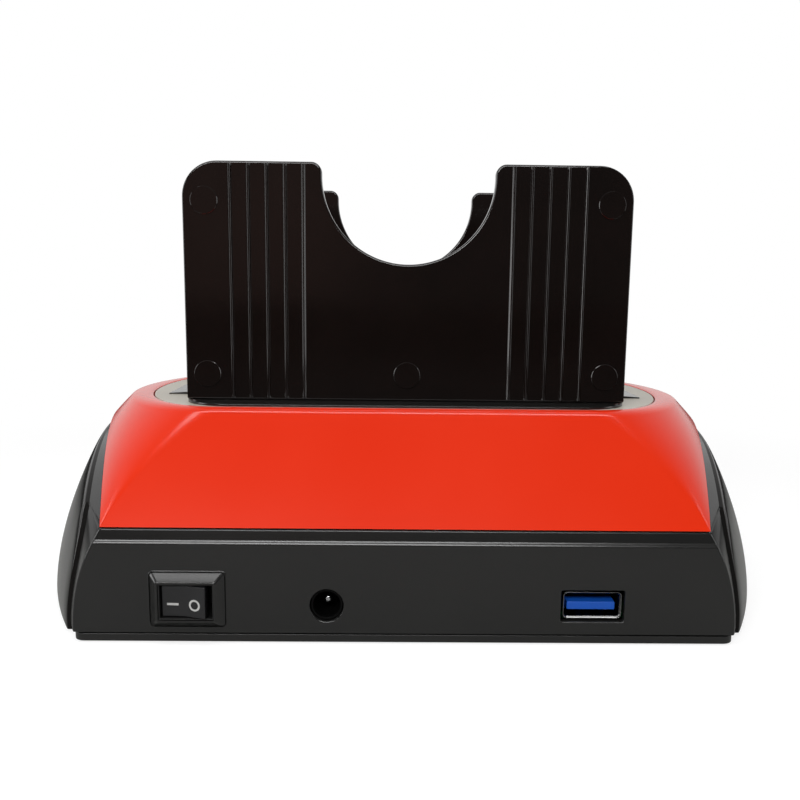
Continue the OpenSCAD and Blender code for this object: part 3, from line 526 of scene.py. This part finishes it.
def coverSection(foot, footIn, oval):
    edge, crest = Vector((*oval[3], cover["rimZ"])), Vector((*oval[2], cover["rimZ"]))
    foot, footIn = Vector(foot), Vector(footIn)
    tall = (cover["rimZ"] - foot.z) / (cover["rimZ"] - body["seamZ"])
    push = cover["swell"] * tall ** 2 * 4 * foot.x / coverEdge(foot.y)

    def climb(t):
        return foot.lerp(edge, t) + Vector((push * t * (1 - t), 0, 0))

    turn = cover["rimRound"] - cover["rimRoundMore"] * (1 - abs(foot.y) / coverY)
    start = climb(turn)
    section = [climb(turn * k / cover["wallSteps"]) for k in range(cover["wallSteps"])]
    for k in range(cover["rimSteps"] + 1):
        t = k / cover["rimSteps"]
        section.append(start.lerp(edge, t).lerp(edge.lerp(crest, t), t))
    low = Vector((*oval[0], ledgeZ - cover["ledgeT"]))
    section += [Vector((*oval[1], cover["rimZ"] - cover["rimDrop"])), Vector((*oval[1], ledgeZ)),
                Vector((*oval[0], ledgeZ)), low]
    return section + [low.lerp(footIn, 0.5), footIn]


def coverEnd(side):
    loop = []
    for i in range(cover["cols"] + 1):
        phi = lerp(-90, 90, i / cover["cols"])
        y = coverY * math.sin(math.radians(phi))
        x = coverEdge(y)
        n = 1 - cover["wall"] / coverY
        oval = [(side * p[0], side * p[1]) for p in (ovalEnd(phi, d) for d in ovalSteps(phi))]
        foot = side * x, side * y, arch(y) + body["seamGap"]
        footIn = side * (x - cover["wall"]), side * y * n, arch(y * n) + body["seamGap"]
        loop.append(coverSection(foot, footIn, oval))
    return loop


def coverSide(side):
    loop = []
    for i in range(1, cover["sideCols"]):
        f = side * lerp(-1, 1, i / cover["sideCols"])
        x, z = f * coverEdge(coverY), arch(coverY) + body["seamGap"]
        oval = [(f * cover["straight"], -side * (cover["ovalD"] + d)) for d in ovalSteps(90)]
        footIn = x * cover["sideIn"], -side * (coverY - cover["wall"]), z
        loop.append(coverSection((x, -side * coverY, z), footIn, oval))
    return loop


def makeCover():
    parts = [coverSide(1), coverEnd(1), coverSide(-1), coverEnd(-1)]
    starts = [sum(len(p) for p in parts[:k]) for k in range(4)]
    creases = [starts[1], starts[2] - 1, starts[3], starts[3] + len(parts[3]) - 1]
    loop = parts[0] + parts[1] + parts[2] + parts[3]
    count = len(loop[0])
    mesh = bpy.data.meshes.new("redCover")
    x, y = post["at"]
    top = arch(y) + post["rise"]
    low, r, bore = body["trayTop"], post["outer"] / 2, post["bore"] / 2
    end = low + post["boreL"]
    profile = [(0, top), (r, top), (r, low), (bore, low), (bore, end), (0, end)]
    posts = [spinMesh(profile, sx * x, sy * y) for sx in (-1, 1) for sy in (-1, 1)]
    verts, faces = joinMeshes(loopMesh(loop), *posts)
    mesh.from_pydata([Vector(v) * mm for v in verts], [], faces)
    work = bmesh.new()
    work.from_mesh(mesh)
    bmesh.ops.recalc_face_normals(work, faces=work.faces)
    work.verts.ensure_lookup_table()
    chosen = []
    for column in creases:
        for row in range(cover["wallSteps"] + cover["rimSteps"] // 2):
            ends = work.verts[column * count + row], work.verts[column * count + row + 1]
            chosen.append(work.edges.get(ends))
    bmesh.ops.bevel(work, geom=chosen, offset=cover["creaseR"] * mm, segments=4, profile=0.5, affect="EDGES",
                    clamp_overlap=True)
    work.to_mesh(mesh)
    work.free()
    piece = newObject("redCover", mesh, "lacqueredRedAbs")
    soften(piece, cover["edge"], angle=40)
    return piece


seat(makeCover(), "dock", "red_cover", "top_cover")
print("cover made")

# Guide plates: notched outline, ribs repeated by a node tree, and ejector discs
plate = dict(width=109.2, height=57.6, thick=3.0, near=29.7, foot=52.4, cornerR=8.5, hornR=2.5, notchR=21,
             notchUp=3, edge=0.5, tongueX=30, tongueL=29.6, tongueH=3.6, tongueGap=0.01)
rib = dict(first=25.4, pitch=4.42, count=5, width=1.1, crown=0.3, proud=0.5, margin=0.5, sunk=0.3, edge=0.08)
disc = dict(diameter=6.6, proud=0.25, sunk=0.3, slope=0.1, inset=5.3, low=6.4, high=48.3)


def arcPoints(cx, cz, radius, start, end, steps):
    return [(cx + radius * math.cos(math.radians(lerp(start, end, k / steps))),
             cz + radius * math.sin(math.radians(lerp(start, end, k / steps)))) for k in range(steps + 1)]


def plateOutline():
    half, h, c, r = plate["width"] / 2, plate["height"], plate["cornerR"], plate["hornR"]
    lift = plate["notchUp"] - r
    hornX = math.sqrt((plate["notchR"] + r) ** 2 - lift ** 2)
    hornA = math.degrees(math.atan2(lift, hornX))
    ring = [(-half, 0), (half, 0)]
    ring += arcPoints(half - c, h - c, c, 0, 90, 16)
    ring += arcPoints(hornX, h - r, r, 90, 180 + hornA, 12)
    ring += arcPoints(0, h - plate["notchUp"], plate["notchR"], hornA, -180 - hornA, 72)[1:-1]
    ring += arcPoints(-hornX, h - r, r, -hornA, 90, 12)
    ring += arcPoints(-half + c, h - c, c, 90, 180, 16)
    return [(x, z + plate["foot"]) for x, z in ring]


# The start of a tree that repeats a shape, with the values that it is given
def openTree(name, **inputs):
    tree = bpy.data.node_groups.new(name, "GeometryNodeTree")
    for label, kind in inputs.items():
        tree.interface.new_socket(label, in_out="INPUT", socket_type="NodeSocket" + kind)
    return tree, addNode(tree, "NodeGroupInput")


# The end of such a tree: instances on points, made real, with their finish
def placeOn(tree, points, shape, finish):
    tree.interface.new_socket("Result", in_out="OUTPUT", socket_type="NodeSocketGeometry")
    placed = addNode(tree, "GeometryNodeInstanceOnPoints", None, {"Points": points, "Instance": shape})
    solid = addNode(tree, "GeometryNodeRealizeInstances", None, {"Geometry": placed})
    skin = addNode(tree, "GeometryNodeSetMaterial", None, {
        "Geometry": solid, "Material": paint[finish]})
    addNode(tree, "NodeGroupOutput", None, {"Result": skin})
    return tree


# Repeats a shape along X on both sides of the middle
def rowTree(name, finish):
    tree, given = openTree(name, Shape="Geometry", Count="Int", First="Float", Pitch="Float", Middle="Float")
    both = []
    for sign in (1, -1):
        first = addNode(tree, "ShaderNodeMath", {"operation": "MULTIPLY_ADD"}, {
            0: given.outputs["First"], 1: sign, 2: given.outputs["Middle"]})
        pitch = addNode(tree, "ShaderNodeMath", {"operation": "MULTIPLY"}, {
            0: given.outputs["Pitch"], 1: sign})
        start = addNode(tree, "ShaderNodeCombineXYZ", None, {"X": first})
        step = addNode(tree, "ShaderNodeCombineXYZ", None, {"X": pitch})
        line = addNode(tree, "GeometryNodeMeshLine", {"mode": "OFFSET"}, {
            "Count": given.outputs["Count"], "Start Location": start, "Offset": step})
        both.append(line.outputs["Mesh"])
    joined = addNode(tree, "GeometryNodeJoinGeometry")
    for mesh in both:
        tree.links.new(mesh, joined.inputs[0])
    return placeOn(tree, joined, given.outputs["Shape"], finish)


# Puts a shape at the four corners of a rectangle
def cornerTree(name, finish):
    tree, given = openTree(name, Shape="Geometry", Length="Float", Depth="Float")
    grid = addNode(tree, "GeometryNodeMeshGrid", None, {
        "Size X": given.outputs["Length"], "Size Y": given.outputs["Depth"],
        "Vertices X": 2, "Vertices Y": 2})
    return placeOn(tree, grid.outputs["Mesh"], given.outputs["Shape"], finish)


def runTree(piece, tree, values):
    step = piece.modifiers.new("row", "NODES")
    step.node_group = tree
    for item in tree.interface.items_tree:
        if item.in_out == "INPUT" and item.name in values:
            step[item.identifier] = values[item.name]
    return settle(piece)


ribTree = rowTree("ribRow", "smokedPolycarbonate")


def makePlate(name, side):
    inner, outer = side * plate["near"], side * (plate["near"] + plate["thick"])
    ring = plateOutline()
    slab = frustum(ring, ring, inner, outer)
    tongues = [blockMesh((x - plate["tongueL"] / 2, min(inner, outer), plate["foot"] - plate["tongueH"]),
                         (x + plate["tongueL"] / 2, max(inner, outer), plate["foot"] - plate["tongueGap"]))
               for x in (-plate["tongueX"], plate["tongueX"])]
    piece = meshPiece(name, *joinMeshes(slab, *tongues), "smokedPolycarbonate")
    soften(piece, plate["edge"], angle=40, segments=3)
    settle(piece)
    # ribs stand from the flange to the top edge, each with sloping flanks and a narrow crown
    low, high = plate["foot"] + rib["margin"], plate["foot"] + plate["height"] - rib["margin"]
    half, crest = rib["width"] / 2, rib["crown"] / 2
    bar = [(half, outer - side * rib["sunk"]), (half, outer), (crest, outer + side * rib["proud"]),
           (-crest, outer + side * rib["proud"]), (-half, outer), (-half, outer - side * rib["sunk"])]
    verts = [(x, y, low) for x, y in bar] + [(x, y, high) for x, y in bar]
    faces = bandFaces(len(bar), 2) + endFaces(len(bar), 2)
    ribs = meshPiece(name + "Ribs", verts, faces, "smokedPolycarbonate")
    soften(ribs, rib["edge"])
    settle(ribs)
    runTree(ribs, ribTree, {"Count": rib["count"], "First": rib["first"] * mm, "Pitch": rib["pitch"] * mm})
    # ejector discs, a little proud, at the corners and under the notch
    reach = plate["width"] / 2 - disc["inset"]
    spots = [(x, disc["high"]) for x in (-reach, reach)] + [(x, disc["low"]) for x in (-reach, 0, reach)]
    rounds = []
    sunkY, topY = outer - side * disc["sunk"], outer + side * disc["proud"]
    slopeY = outer + side * (disc["proud"] - disc["slope"])
    for x, z in spots:
        wide = discRing(x, plate["foot"] + z, disc["diameter"])
        top = discRing(x, plate["foot"] + z, disc["diameter"] - 2 * disc["slope"])
        rounds += [frustum(wide, wide, sunkY, slopeY), frustum(wide, top, slopeY, topY)]
    discs = meshPiece(name + "Discs", *joinMeshes(*rounds), "smokedPolycarbonate")
    return piece, ribs, discs


for name, side, node in (("rearPlate", -1, "rear_guide_plate"), ("frontPlate", 1, "front_guide_plate")):
    slab, ribs, discs = makePlate(name, side)
    seat(slab, "dock", "guide_plate", node)
    seat(ribs, "dock", "guide_plate")
    seat(discs, "dock", "guide_plate")
print("guide plates made")

# Pieces whose CAD shape is right, with eased edges: node, finish, record slot, edge width
easedNodes = {
    "topPanel": ("top_panel", "grainedGreyAbs", "grey_panel", 0.25),
    "bayInsert": ("bay_insert", "polishedBlackAbs", "black_housing", 0.3),
    "rearFlap": ("rear_flap", "satinBlackAbs", "black_housing", 0.2),
    "frontFlap": ("front_flap", "satinBlackAbs", "black_housing", 0.2),
    "rearFlapPin": ("rear_flap_pin", "zincSteel", "steel", 0.1),
    "frontFlapPin": ("front_flap_pin", "zincSteel", "steel", 0.1),
    "rearFlapSpring": ("rear_flap_spring", "zincSteel", "steel", 0.05),
    "frontFlapSpring": ("front_flap_spring", "zincSteel", "steel", 0.05),
    "mainBoard": ("main_board", "solderMask", "board", 0.1),
    "bridgeChip": ("bridge_chip", "mouldCompound", "chip", 0.1),
    "crystalCan": ("crystal", "nickelSheet", "steel", 0.2),
    "capacitorCans": ("capacitors", "drawnAluminium", "socket_shell", 0.3),
    "powerCoil": ("power_coil", "mouldCompound", "chip", 0.3),
    "rearSataSocket": ("rear_sata_socket", "filledNylon", "socket_black", 0.15),
    "frontSataSocket": ("front_sata_socket", "filledNylon", "socket_black", 0.15),
    "sataContacts": ("sata_contacts", "goldFlash", "gold_contact", 0.03),
    "usbTongue": ("usb_tongue", "blueLcp", "blue_tongue", 0.2),
    "usbContacts": ("usb_contacts", "goldFlash", "gold_contact", 0.03),
    "jackPin": ("power_jack_pin", "nickelSheet", "steel", 0.6),
    "switchCase": ("switch_housing", "filledNylon", "socket_black", 0.08),
    "switchTerminals": ("switch_terminals", "zincSteel", "steel", 0.1),
    "switchLeads": ("switch_leads", "redPvc", "wire", 0.15),
    "buttonSwitch": ("button_switch", "mouldCompound", "chip", 0.15),
    "statusLeds": ("status_leds", "clearAcrylic", "clear_pipe", 0.15),
    "lightPipes": ("light_pipes", "clearAcrylic", "clear_pipe", 0.25),
    "cloneButton": ("clone_button", "polishedBlackAbs", "black_cheek", 0.5),
    "buttonPlunger": ("button_plunger", "ivoryAcetal", "plunger", 0.2),
    "switchRocker": ("switch_rocker", "rockerNylon", "rocker", 0.3),
}
movers = {"rearFlap": "rear_flap", "frontFlap": "front_flap", "switchRocker": "rocker",
          "cloneButton": "button", "buttonPlunger": "button"}
for name, (node, finish, slotName, width) in easedNodes.items():
    seat(easedCopy(node, name, finish, width), movers.get(name, "dock"), slotName, node)
print("eased pieces made:", len(easedNodes))

# Polished lip around the bays, from the insert's flange towards the oval rim
bayLip = dict(outer=(110.6, 76.7), inner=(109.6, 68.2), cornerOut=11, cornerIn=4.8, cornerSteps=10,
              low=51.5, edge=51.9, high=52.1, slope=0.2, bevel=0.08)


def makeBayLip():
    def ring(size, radius, z, less=0):
        flat = roundedRing(0, 0, size[0] - less, size[1] - less, radius, bayLip["cornerSteps"])
        return [(x, y, z) for x, y in flat]

    outer, inner, out = bayLip["outer"], bayLip["inner"], bayLip["cornerOut"]
    rings = [ring(outer, out, bayLip["low"]), ring(outer, out, bayLip["edge"]),
             ring(outer, out - bayLip["slope"] / 2, bayLip["high"], bayLip["slope"]),
             ring(inner, bayLip["cornerIn"], bayLip["high"]), ring(inner, bayLip["cornerIn"], bayLip["low"])]
    piece = meshPiece("bayLip", *loopMesh(rings), "polishedBlackAbs")
    soften(piece, bayLip["bevel"], angle=25)
    return piece


seat(makeBayLip(), "dock", "black_housing")
print("bay lip made")

# Base tray: the CAD shape with its four upright corners rounded
tray = dict(cornerX=70, cornerY=57, upright=1.5, radius=2.2, edge=0.12, seam=0.2, near=0.05)
trayPiece = easedCopy("base_tray", "baseTray", "satinBlackAbs", 0)
work = bmesh.new()
work.from_mesh(trayPiece.data)
upright = [e for e in work.edges if abs(e.verts[0].co.z - e.verts[1].co.z) > tray["upright"] * mm
           and all(abs(v.co.x) > tray["cornerX"] * mm for v in e.verts)
           and all(abs(v.co.y) > tray["cornerY"] * mm for v in e.verts)]
bmesh.ops.bevel(work, geom=upright, offset=tray["radius"] * mm, segments=5, profile=0.5, affect="EDGES")
# the rim lies a little lower, which leaves a dark seam under the housing
rim = [v for v in work.verts if abs(v.co.z / mm - body["trayTop"]) < tray["near"]]
for vert in rim:
    vert.co.z -= tray["seam"] * mm
work.to_mesh(trayPiece.data)
work.free()
soften(trayPiece, tray["edge"])
seat(trayPiece, "dock", "black_housing", "base_tray")
print("tray made with rounded corners:", len(upright), "and rim points:", len(rim))

# Power jack: the CAD body with the front of its nose nearer to the panel's face, where its near-black nylon
# covers the hole's wall as painted shade
jack = dict(noseFrom=-56.5, forward=0.8, edge=0.06)
jackPiece = easedCopy("power_jack_body", "jackBody", "shadeBlackNylon", 0)
for vert in jackPiece.data.vertices:
    if vert.co.y < jack["noseFrom"] * mm:
        vert.co.y -= jack["forward"] * mm
soften(jackPiece, jack["edge"])
seat(jackPiece, "dock", "socket_black", "power_jack_body")
print("power jack made")

# Screws with a cross recess, and feet with a rounded rim, one shape each set at four corners
screws = {
    "baseScrews": dict(node="base_screws", at=(63, 44), head=(0.3, 1.4), headD=5.4, tip=12.3, shankD=2.6,
                       cross=(3.2, 0.8, 0.7)),
    "boardScrews": dict(node="board_screws", at=(52, 30), head=(7.4, 6.1), headD=4.2, tip=2.3, shankD=2.2,
                        cross=(2.6, 0.6, 0.8)),
}
screwHead = dict(lift=0.25, flatIn=0.5, shoulderIn=0.15, shoulderUp=0.5, sideUp=1.5)
feet = dict(at=(48, 48), diameter=11, height=1.1, rim=0.25)


def makeScrews(name, screw):
    outer, inner = screw["head"]
    r, thin, lift = screw["headD"] / 2, screw["shankD"] / 2, (inner - outer) * screwHead["lift"]
    profile = [(r - screwHead["flatIn"], outer),
               (r - screwHead["shoulderIn"], outer + lift * screwHead["shoulderUp"]),
               (r, outer + lift * screwHead["sideUp"]), (r, inner), (thin, inner), (thin, screw["tip"])]
    piece = meshPiece(name, *spinMesh(profile, steps=40), "zincSteel")
    long, wide, deep = screw["cross"]
    low, high = sorted((outer - lift, outer + math.copysign(deep, lift)))
    bars = [blockMesh((-x / 2, -y / 2, low), (x / 2, y / 2, high)) for x, y in ((long, wide), (wide, long))]
    for bar in bars:
        cutWith(piece, meshPiece("bar", *bar, "zincSteel"), "DIFFERENCE")
    smoothFaces(piece, sharpAngle=35)
    x, y = screw["at"]
    return runTree(piece, screwTree, {"Length": 2 * x * mm, "Depth": 2 * y * mm})


def makeFeet():
    r, h, e = feet["diameter"] / 2, feet["height"], feet["rim"]
    rim = [(r - e + e * math.sin(a), e - e * math.cos(a)) for a in (math.pi * k / 8 for k in range(5))]
    piece = meshPiece("rubberFeet", *spinMesh(rim + [(r, h)], steps=56), "dullRubber")
    smoothFaces(piece, sharpAngle=40)
    x, y = feet["at"]
    return runTree(piece, footTree, {"Length": 2 * x * mm, "Depth": 2 * y * mm})


screwTree = cornerTree("screwCorners", "zincSteel")
footTree = cornerTree("footCorners", "dullRubber")
for name, screw in screws.items():
    seat(makeScrews(name, screw), "dock", "steel", screw["node"])
seat(makeFeet(), "dock", "foot_rubber", "feet")
print("screws and feet made")

# USB socket: a rolled shell with a closed back, painted dark as shade, a mouth painted bright as a highlight,
# and six sprung fingers
usb = dict(x=42.6, z=9.2, width=13.3, height=6.2, wall=0.4, front=-58.0, back=-44.0, floor=-48.0, outerR=0.9,
           innerR=0.6, flare=0.1, flareL=0.85, flareR=1.0, rimT=0.15, inset=0.4, lip=0.04)
finger = dict(width=1.9, start=-56.9, end=-51.5, thick=0.25, sunk=0.05, power=1.5, steps=10)
fingerRows = {"usbFingersTop": dict(up=1, bend=0.95, count=2, first=1.5, pitch=3.0),
              "usbFingersLow": dict(up=-1, bend=0.55, count=1, first=3.1, pitch=0)}


def makeUsbShell():
    w, h, t = usb["width"], usb["height"], usb["wall"]
    outer = roundedRing(usb["x"], usb["z"], w, h, usb["outerR"])
    inner = roundedRing(usb["x"], usb["z"], w - 2 * t, h - 2 * t, usb["innerR"])
    more, rim = usb["flare"], usb["rimT"]
    mouth = usb["x"] + more / 2, usb["z"] - more / 2
    wide = roundedRing(*mouth, w + more, h + more, usb["flareR"])
    edge = roundedRing(*mouth, w + more - 2 * rim, h + more - 2 * rim, usb["flareR"] - rim)
    n, lipY, bendY = len(outer), usb["front"] + usb["inset"], usb["front"] + usb["flareL"]
    rings = [(outer, usb["back"]), (outer, bendY), (inner, bendY), (inner, usb["floor"])]
    verts = [(x, y, z) for ring, y in rings for x, z in ring]
    faces = bandFaces(n, len(rings)) + [face[::-1] for face in endFaces(n, len(rings))]
    # the shell's dark grey nickel is painted shade for the inside of the socket
    shell = meshPiece("usbShell", verts, faces, "shadeDarkNickel")
    soften(shell, usb["lip"], angle=40, segments=3)
    # the mouth is rolled outwards below and on the right, and painted bright as a highlight
    rings = [(outer, bendY), (wide, lipY), (edge, lipY), (inner, bendY)]
    verts = [(x, y, z) for ring, y in rings for x, z in ring]
    mouthRing = meshPiece("usbMouth", verts, bandFaces(n, len(rings), True), "highlightNickel")
    soften(mouthRing, usb["lip"], angle=40)
    return shell, mouthRing


def makeFingers(name, row):
    up = row["up"]
    edge = usb["z"] + up * (usb["height"] / 2 - usb["wall"] + finger["sunk"])
    half = finger["width"] / 2
    verts = []
    for k in range(finger["steps"] + 1):
        t = k / finger["steps"]
        y = lerp(finger["start"], finger["end"], t)
        drop = row["bend"] * math.sin(math.pi * t) ** finger["power"]
        for x, z in ((-half, 0), (half, 0), (half, finger["thick"]), (-half, finger["thick"])):
            verts.append((x, y, edge - up * (drop + z - finger["thick"])))
    faces = bandFaces(4, finger["steps"] + 1) + endFaces(4, finger["steps"] + 1)
    # the fingers take the same dark nickel, painted shade
    piece = meshPiece(name, verts, faces, "shadeDarkNickel")
    smoothFaces(piece, sharpAngle=40)
    return runTree(piece, fingerTree, {
        "Count": row["count"], "First": row["first"] * mm, "Pitch": row["pitch"] * mm,
        "Middle": usb["x"] * mm})


# the finger rows keep the dark nickel of painted shade
fingerTree = rowTree("fingerRow", "shadeDarkNickel")
shell, mouthRing = makeUsbShell()
seat(shell, "dock", "socket_shell", "usb_shell")
seat(mouthRing, "dock", "socket_shell")
for name, row in fingerRows.items():
    seat(makeFingers(name, row), "dock", "socket_shell")
print("usb socket made")

# Printed marks on the rocker: a dash on the pressed end and a ring on the proud end
rocker = dict(x=-49.3, y=-57.3, z=10.4, tilt=-10, out=2.6, endOut=3.2, half=5.1, lift=0.02, low=0.7)
dash = dict(at=-2.6, length=2.6, width=0.55)
ringMark = dict(at=2.5, outer=1.35, inner=0.9, steps=40)


def onRocker(u, v):
    face = rocker["out"] + (rocker["endOut"] - rocker["out"]) * abs(u) / rocker["half"] + rocker["lift"]
    a = math.radians(rocker["tilt"])
    x, y = u, -face
    return (rocker["x"] + x * math.cos(a) - y * math.sin(a), rocker["y"] + x * math.sin(a) + y * math.cos(a),
            rocker["z"] - rocker["low"] + v)


def makeMarks():
    halfL, halfW = dash["length"] / 2, dash["width"] / 2
    corners = (-halfL, -halfW), (halfL, -halfW), (halfL, halfW), (-halfL, halfW)
    verts = [onRocker(dash["at"] + u, v) for u, v in corners]
    faces = [(0, 1, 2, 3)]
    steps = ringMark["steps"]
    for k in range(steps):
        a = 2 * math.pi * k / steps
        for r in (ringMark["outer"], ringMark["inner"]):
            verts.append(onRocker(ringMark["at"] + r * math.cos(a), r * math.sin(a)))
    for k in range(steps):
        a, b = 4 + 2 * k, 4 + 2 * ((k + 1) % steps)
        faces.append((a, b, b + 1, a + 1))
    return meshPiece("rockerMarks", verts, faces, "paleInk")


seat(makeMarks(), "rocker", "rocker")
print("rocker marks made")

# Camera at the photograph's viewing angle, fitted to the object's corners
view = dict(azimuth=-0.88, elevation=8.72, roll=0.68, distance=239.8, target=(0, 0, 45), focalPx=825.7,
            centrePx=(404.3, 410.5), framePx=800, sensor=36, clip=10)


def makeCamera():
    az, el, roll = (math.radians(view[k]) for k in ("azimuth", "elevation", "roll"))
    back = Vector((math.sin(az) * math.cos(el), -math.cos(az) * math.cos(el), math.sin(el)))
    right = Vector((math.cos(az), math.sin(az), 0))
    up = back.cross(right)
    right, up = right * math.cos(roll) + up * math.sin(roll), up * math.cos(roll) - right * math.sin(roll)
    data = bpy.data.cameras.new("camera")
    data.sensor_width = view["sensor"]
    data.lens = view["focalPx"] / view["framePx"] * data.sensor_width
    half = view["framePx"] / 2
    data.shift_x = -(view["centrePx"][0] - half) / view["framePx"]
    data.shift_y = (view["centrePx"][1] - half) / view["framePx"]
    data.clip_start = view["clip"] * mm
    camera = bpy.data.objects.new("camera", data)
    turn = Matrix((right, up, back)).transposed().to_4x4()
    camera.matrix_world = Matrix.Translation((Vector(view["target"]) + back * view["distance"]) * mm) @ turn
    scene.collection.objects.link(camera)
    scene.camera = camera


makeCamera()

# Soft studio light: one wide panel high in front, one on each side and a narrow strip overhead
lamps = {
    "frontPanel": dict(at=(-80, -560, 370), aim=(0, -40, 40), size=(520, 130), watts=2.85),
    "leftPanel": dict(at=(-520, -120, 175), aim=(0, 0, 60), size=(180, 350), watts=0.83),
    "rightPanel": dict(at=(520, -120, 175), aim=(0, 0, 60), size=(180, 350), watts=0.52),
    "overheadStrip": dict(at=(-30, -182, 600), aim=(-30, -120, 0), size=(620, 80), watts=1.1),
}
for name, lamp in lamps.items():
    data = bpy.data.lights.new(name + "Lamp", "AREA")
    data.shape = "RECTANGLE"
    data.size, data.size_y = lamp["size"][0] * mm, lamp["size"][1] * mm
    data.energy = lamp["watts"]
    lampObject = bpy.data.objects.new(name + "Lamp", data)
    lampObject.location = Vector(lamp["at"]) * mm
    lampObject.rotation_euler = (Vector(lamp["aim"]) - Vector(lamp["at"])).to_track_quat("-Z", "Y").to_euler()
    scene.collection.objects.link(lampObject)


# What the camera sees for itself, straight or through the clear pipes
def seenDirectly(tree, path):
    return addNode(tree, "ShaderNodeMath", {"operation": "MAXIMUM"}, {
        0: path.outputs["Is Camera Ray"], 1: path.outputs["Is Transmission Ray"]})


# White sweep behind the object that darkens towards the room in front, with a faint warm patch there that the
# guide plates mirror. The camera sees it plain white, and gloss sees it a little brighter than it shines.
worldLook = dict(room=0.03, sweep=0.75, mirrored=1.05, roomAt=-0.55, sweepAt=1.0, glow="#b08478",
                 glowLevel=0.3, glowAim=(-0.17, -0.98, 0.06), glowFrom=0.975, glowTo=1.0)
world = bpy.data.worlds.new("studio")
scene.world = world
tree = freshTree(world)
path = addNode(tree, "ShaderNodeLightPath")
heading = addNode(tree, "ShaderNodeTexCoord")
parts = addNode(tree, "ShaderNodeSeparateXYZ", None, {0: heading.outputs["Generated"]})
level = addNode(tree, "ShaderNodeMapRange", {"interpolation_type": "SMOOTHSTEP"}, {
    "Value": parts.outputs["Y"], "From Min": worldLook["roomAt"], "From Max": worldLook["sweepAt"],
    "To Min": worldLook["room"], "To Max": worldLook["sweep"]})
shine = addNode(tree, "ShaderNodeMapRange", None, {
    "Value": path.outputs["Is Glossy Ray"], "To Min": 1.0, "To Max": worldLook["mirrored"]})
bright = addNode(tree, "ShaderNodeMath", {"operation": "MULTIPLY"}, {
    0: level, 1: shine})
soft = addNode(tree, "ShaderNodeBackground", None, {"Color": (1, 1, 1, 1), "Strength": bright})
facing = addNode(tree, "ShaderNodeVectorMath", {"operation": "DOT_PRODUCT"}, {
    0: heading.outputs["Generated"], 1: worldLook["glowAim"]})
glow = addNode(tree, "ShaderNodeMapRange", {"interpolation_type": "SMOOTHSTEP"}, {
    "Value": facing.outputs["Value"], "From Min": worldLook["glowFrom"], "From Max": worldLook["glowTo"],
    "To Max": worldLook["glowLevel"]})
warm = addNode(tree, "ShaderNodeBackground", None, {
    "Color": linear(worldLook["glow"]), "Strength": glow})
around = addNode(tree, "ShaderNodeAddShader", None, {0: soft, 1: warm})
white = addNode(tree, "ShaderNodeBackground", None, {"Color": (1, 1, 1, 1)})
seen = addNode(tree, "ShaderNodeMixShader", None, {
    0: seenDirectly(tree, path), 1: around, 2: white})
addNode(tree, "ShaderNodeOutputWorld", None, {"Surface": seen})

# Pale floor that reads white to the camera and keeps the object's shadow near it
floorLook = dict(half=3000, colour="#a8a8a6", far="#2a2a2a", lift=0.72, keep=0.36, nearMm=150, farMm=320)
floorMaterial = bpy.data.materials.new("paleFloor")
tree = freshTree(floorMaterial)
path = addNode(tree, "ShaderNodeLightPath")
spot = addNode(tree, "ShaderNodeTexCoord")
away = addNode(tree, "ShaderNodeVectorMath", {"operation": "LENGTH"}, {0: spot.outputs["Object"]})
fade = addNode(tree, "ShaderNodeMapRange", {"interpolation_type": "SMOOTHSTEP"}, {
    "Value": away.outputs["Value"], "From Min": floorLook["nearMm"] * mm,
    "From Max": floorLook["farMm"] * mm})
tone = addNode(tree, "ShaderNodeMix", {"data_type": "RGBA"}, {
    0: fade, 6: linear(floorLook["colour"]), 7: linear(floorLook["far"])})
plain = addNode(tree, "ShaderNodeBsdfDiffuse", None, {"Color": tone.outputs[2]})
kept = addNode(tree, "ShaderNodeBsdfDiffuse", None, {"Color": (floorLook["keep"],) * 3 + (1,)})
lift = addNode(tree, "ShaderNodeEmission", None, {"Strength": floorLook["lift"]})
lifted = addNode(tree, "ShaderNodeAddShader", None, {0: kept, 1: lift})
clear = addNode(tree, "ShaderNodeEmission")
faded = addNode(tree, "ShaderNodeMixShader", None, {
    0: fade, 1: lifted, 2: clear})
shown = addNode(tree, "ShaderNodeMixShader", None, {
    0: seenDirectly(tree, path), 1: plain, 2: faded})
addNode(tree, "ShaderNodeOutputMaterial", None, {"Surface": shown})
half = floorLook["half"]
floorMesh = bpy.data.meshes.new("floor")
corners = (-half, -half, 0), (half, -half, 0), (half, half, 0), (-half, half, 0)
floorMesh.from_pydata([Vector(corner) * mm for corner in corners], [], [(0, 1, 2, 3)])
floorMesh.materials.append(floorMaterial)
floor = bpy.data.objects.new("floor", floorMesh)
scene.collection.objects.link(floor)
print("stage made")
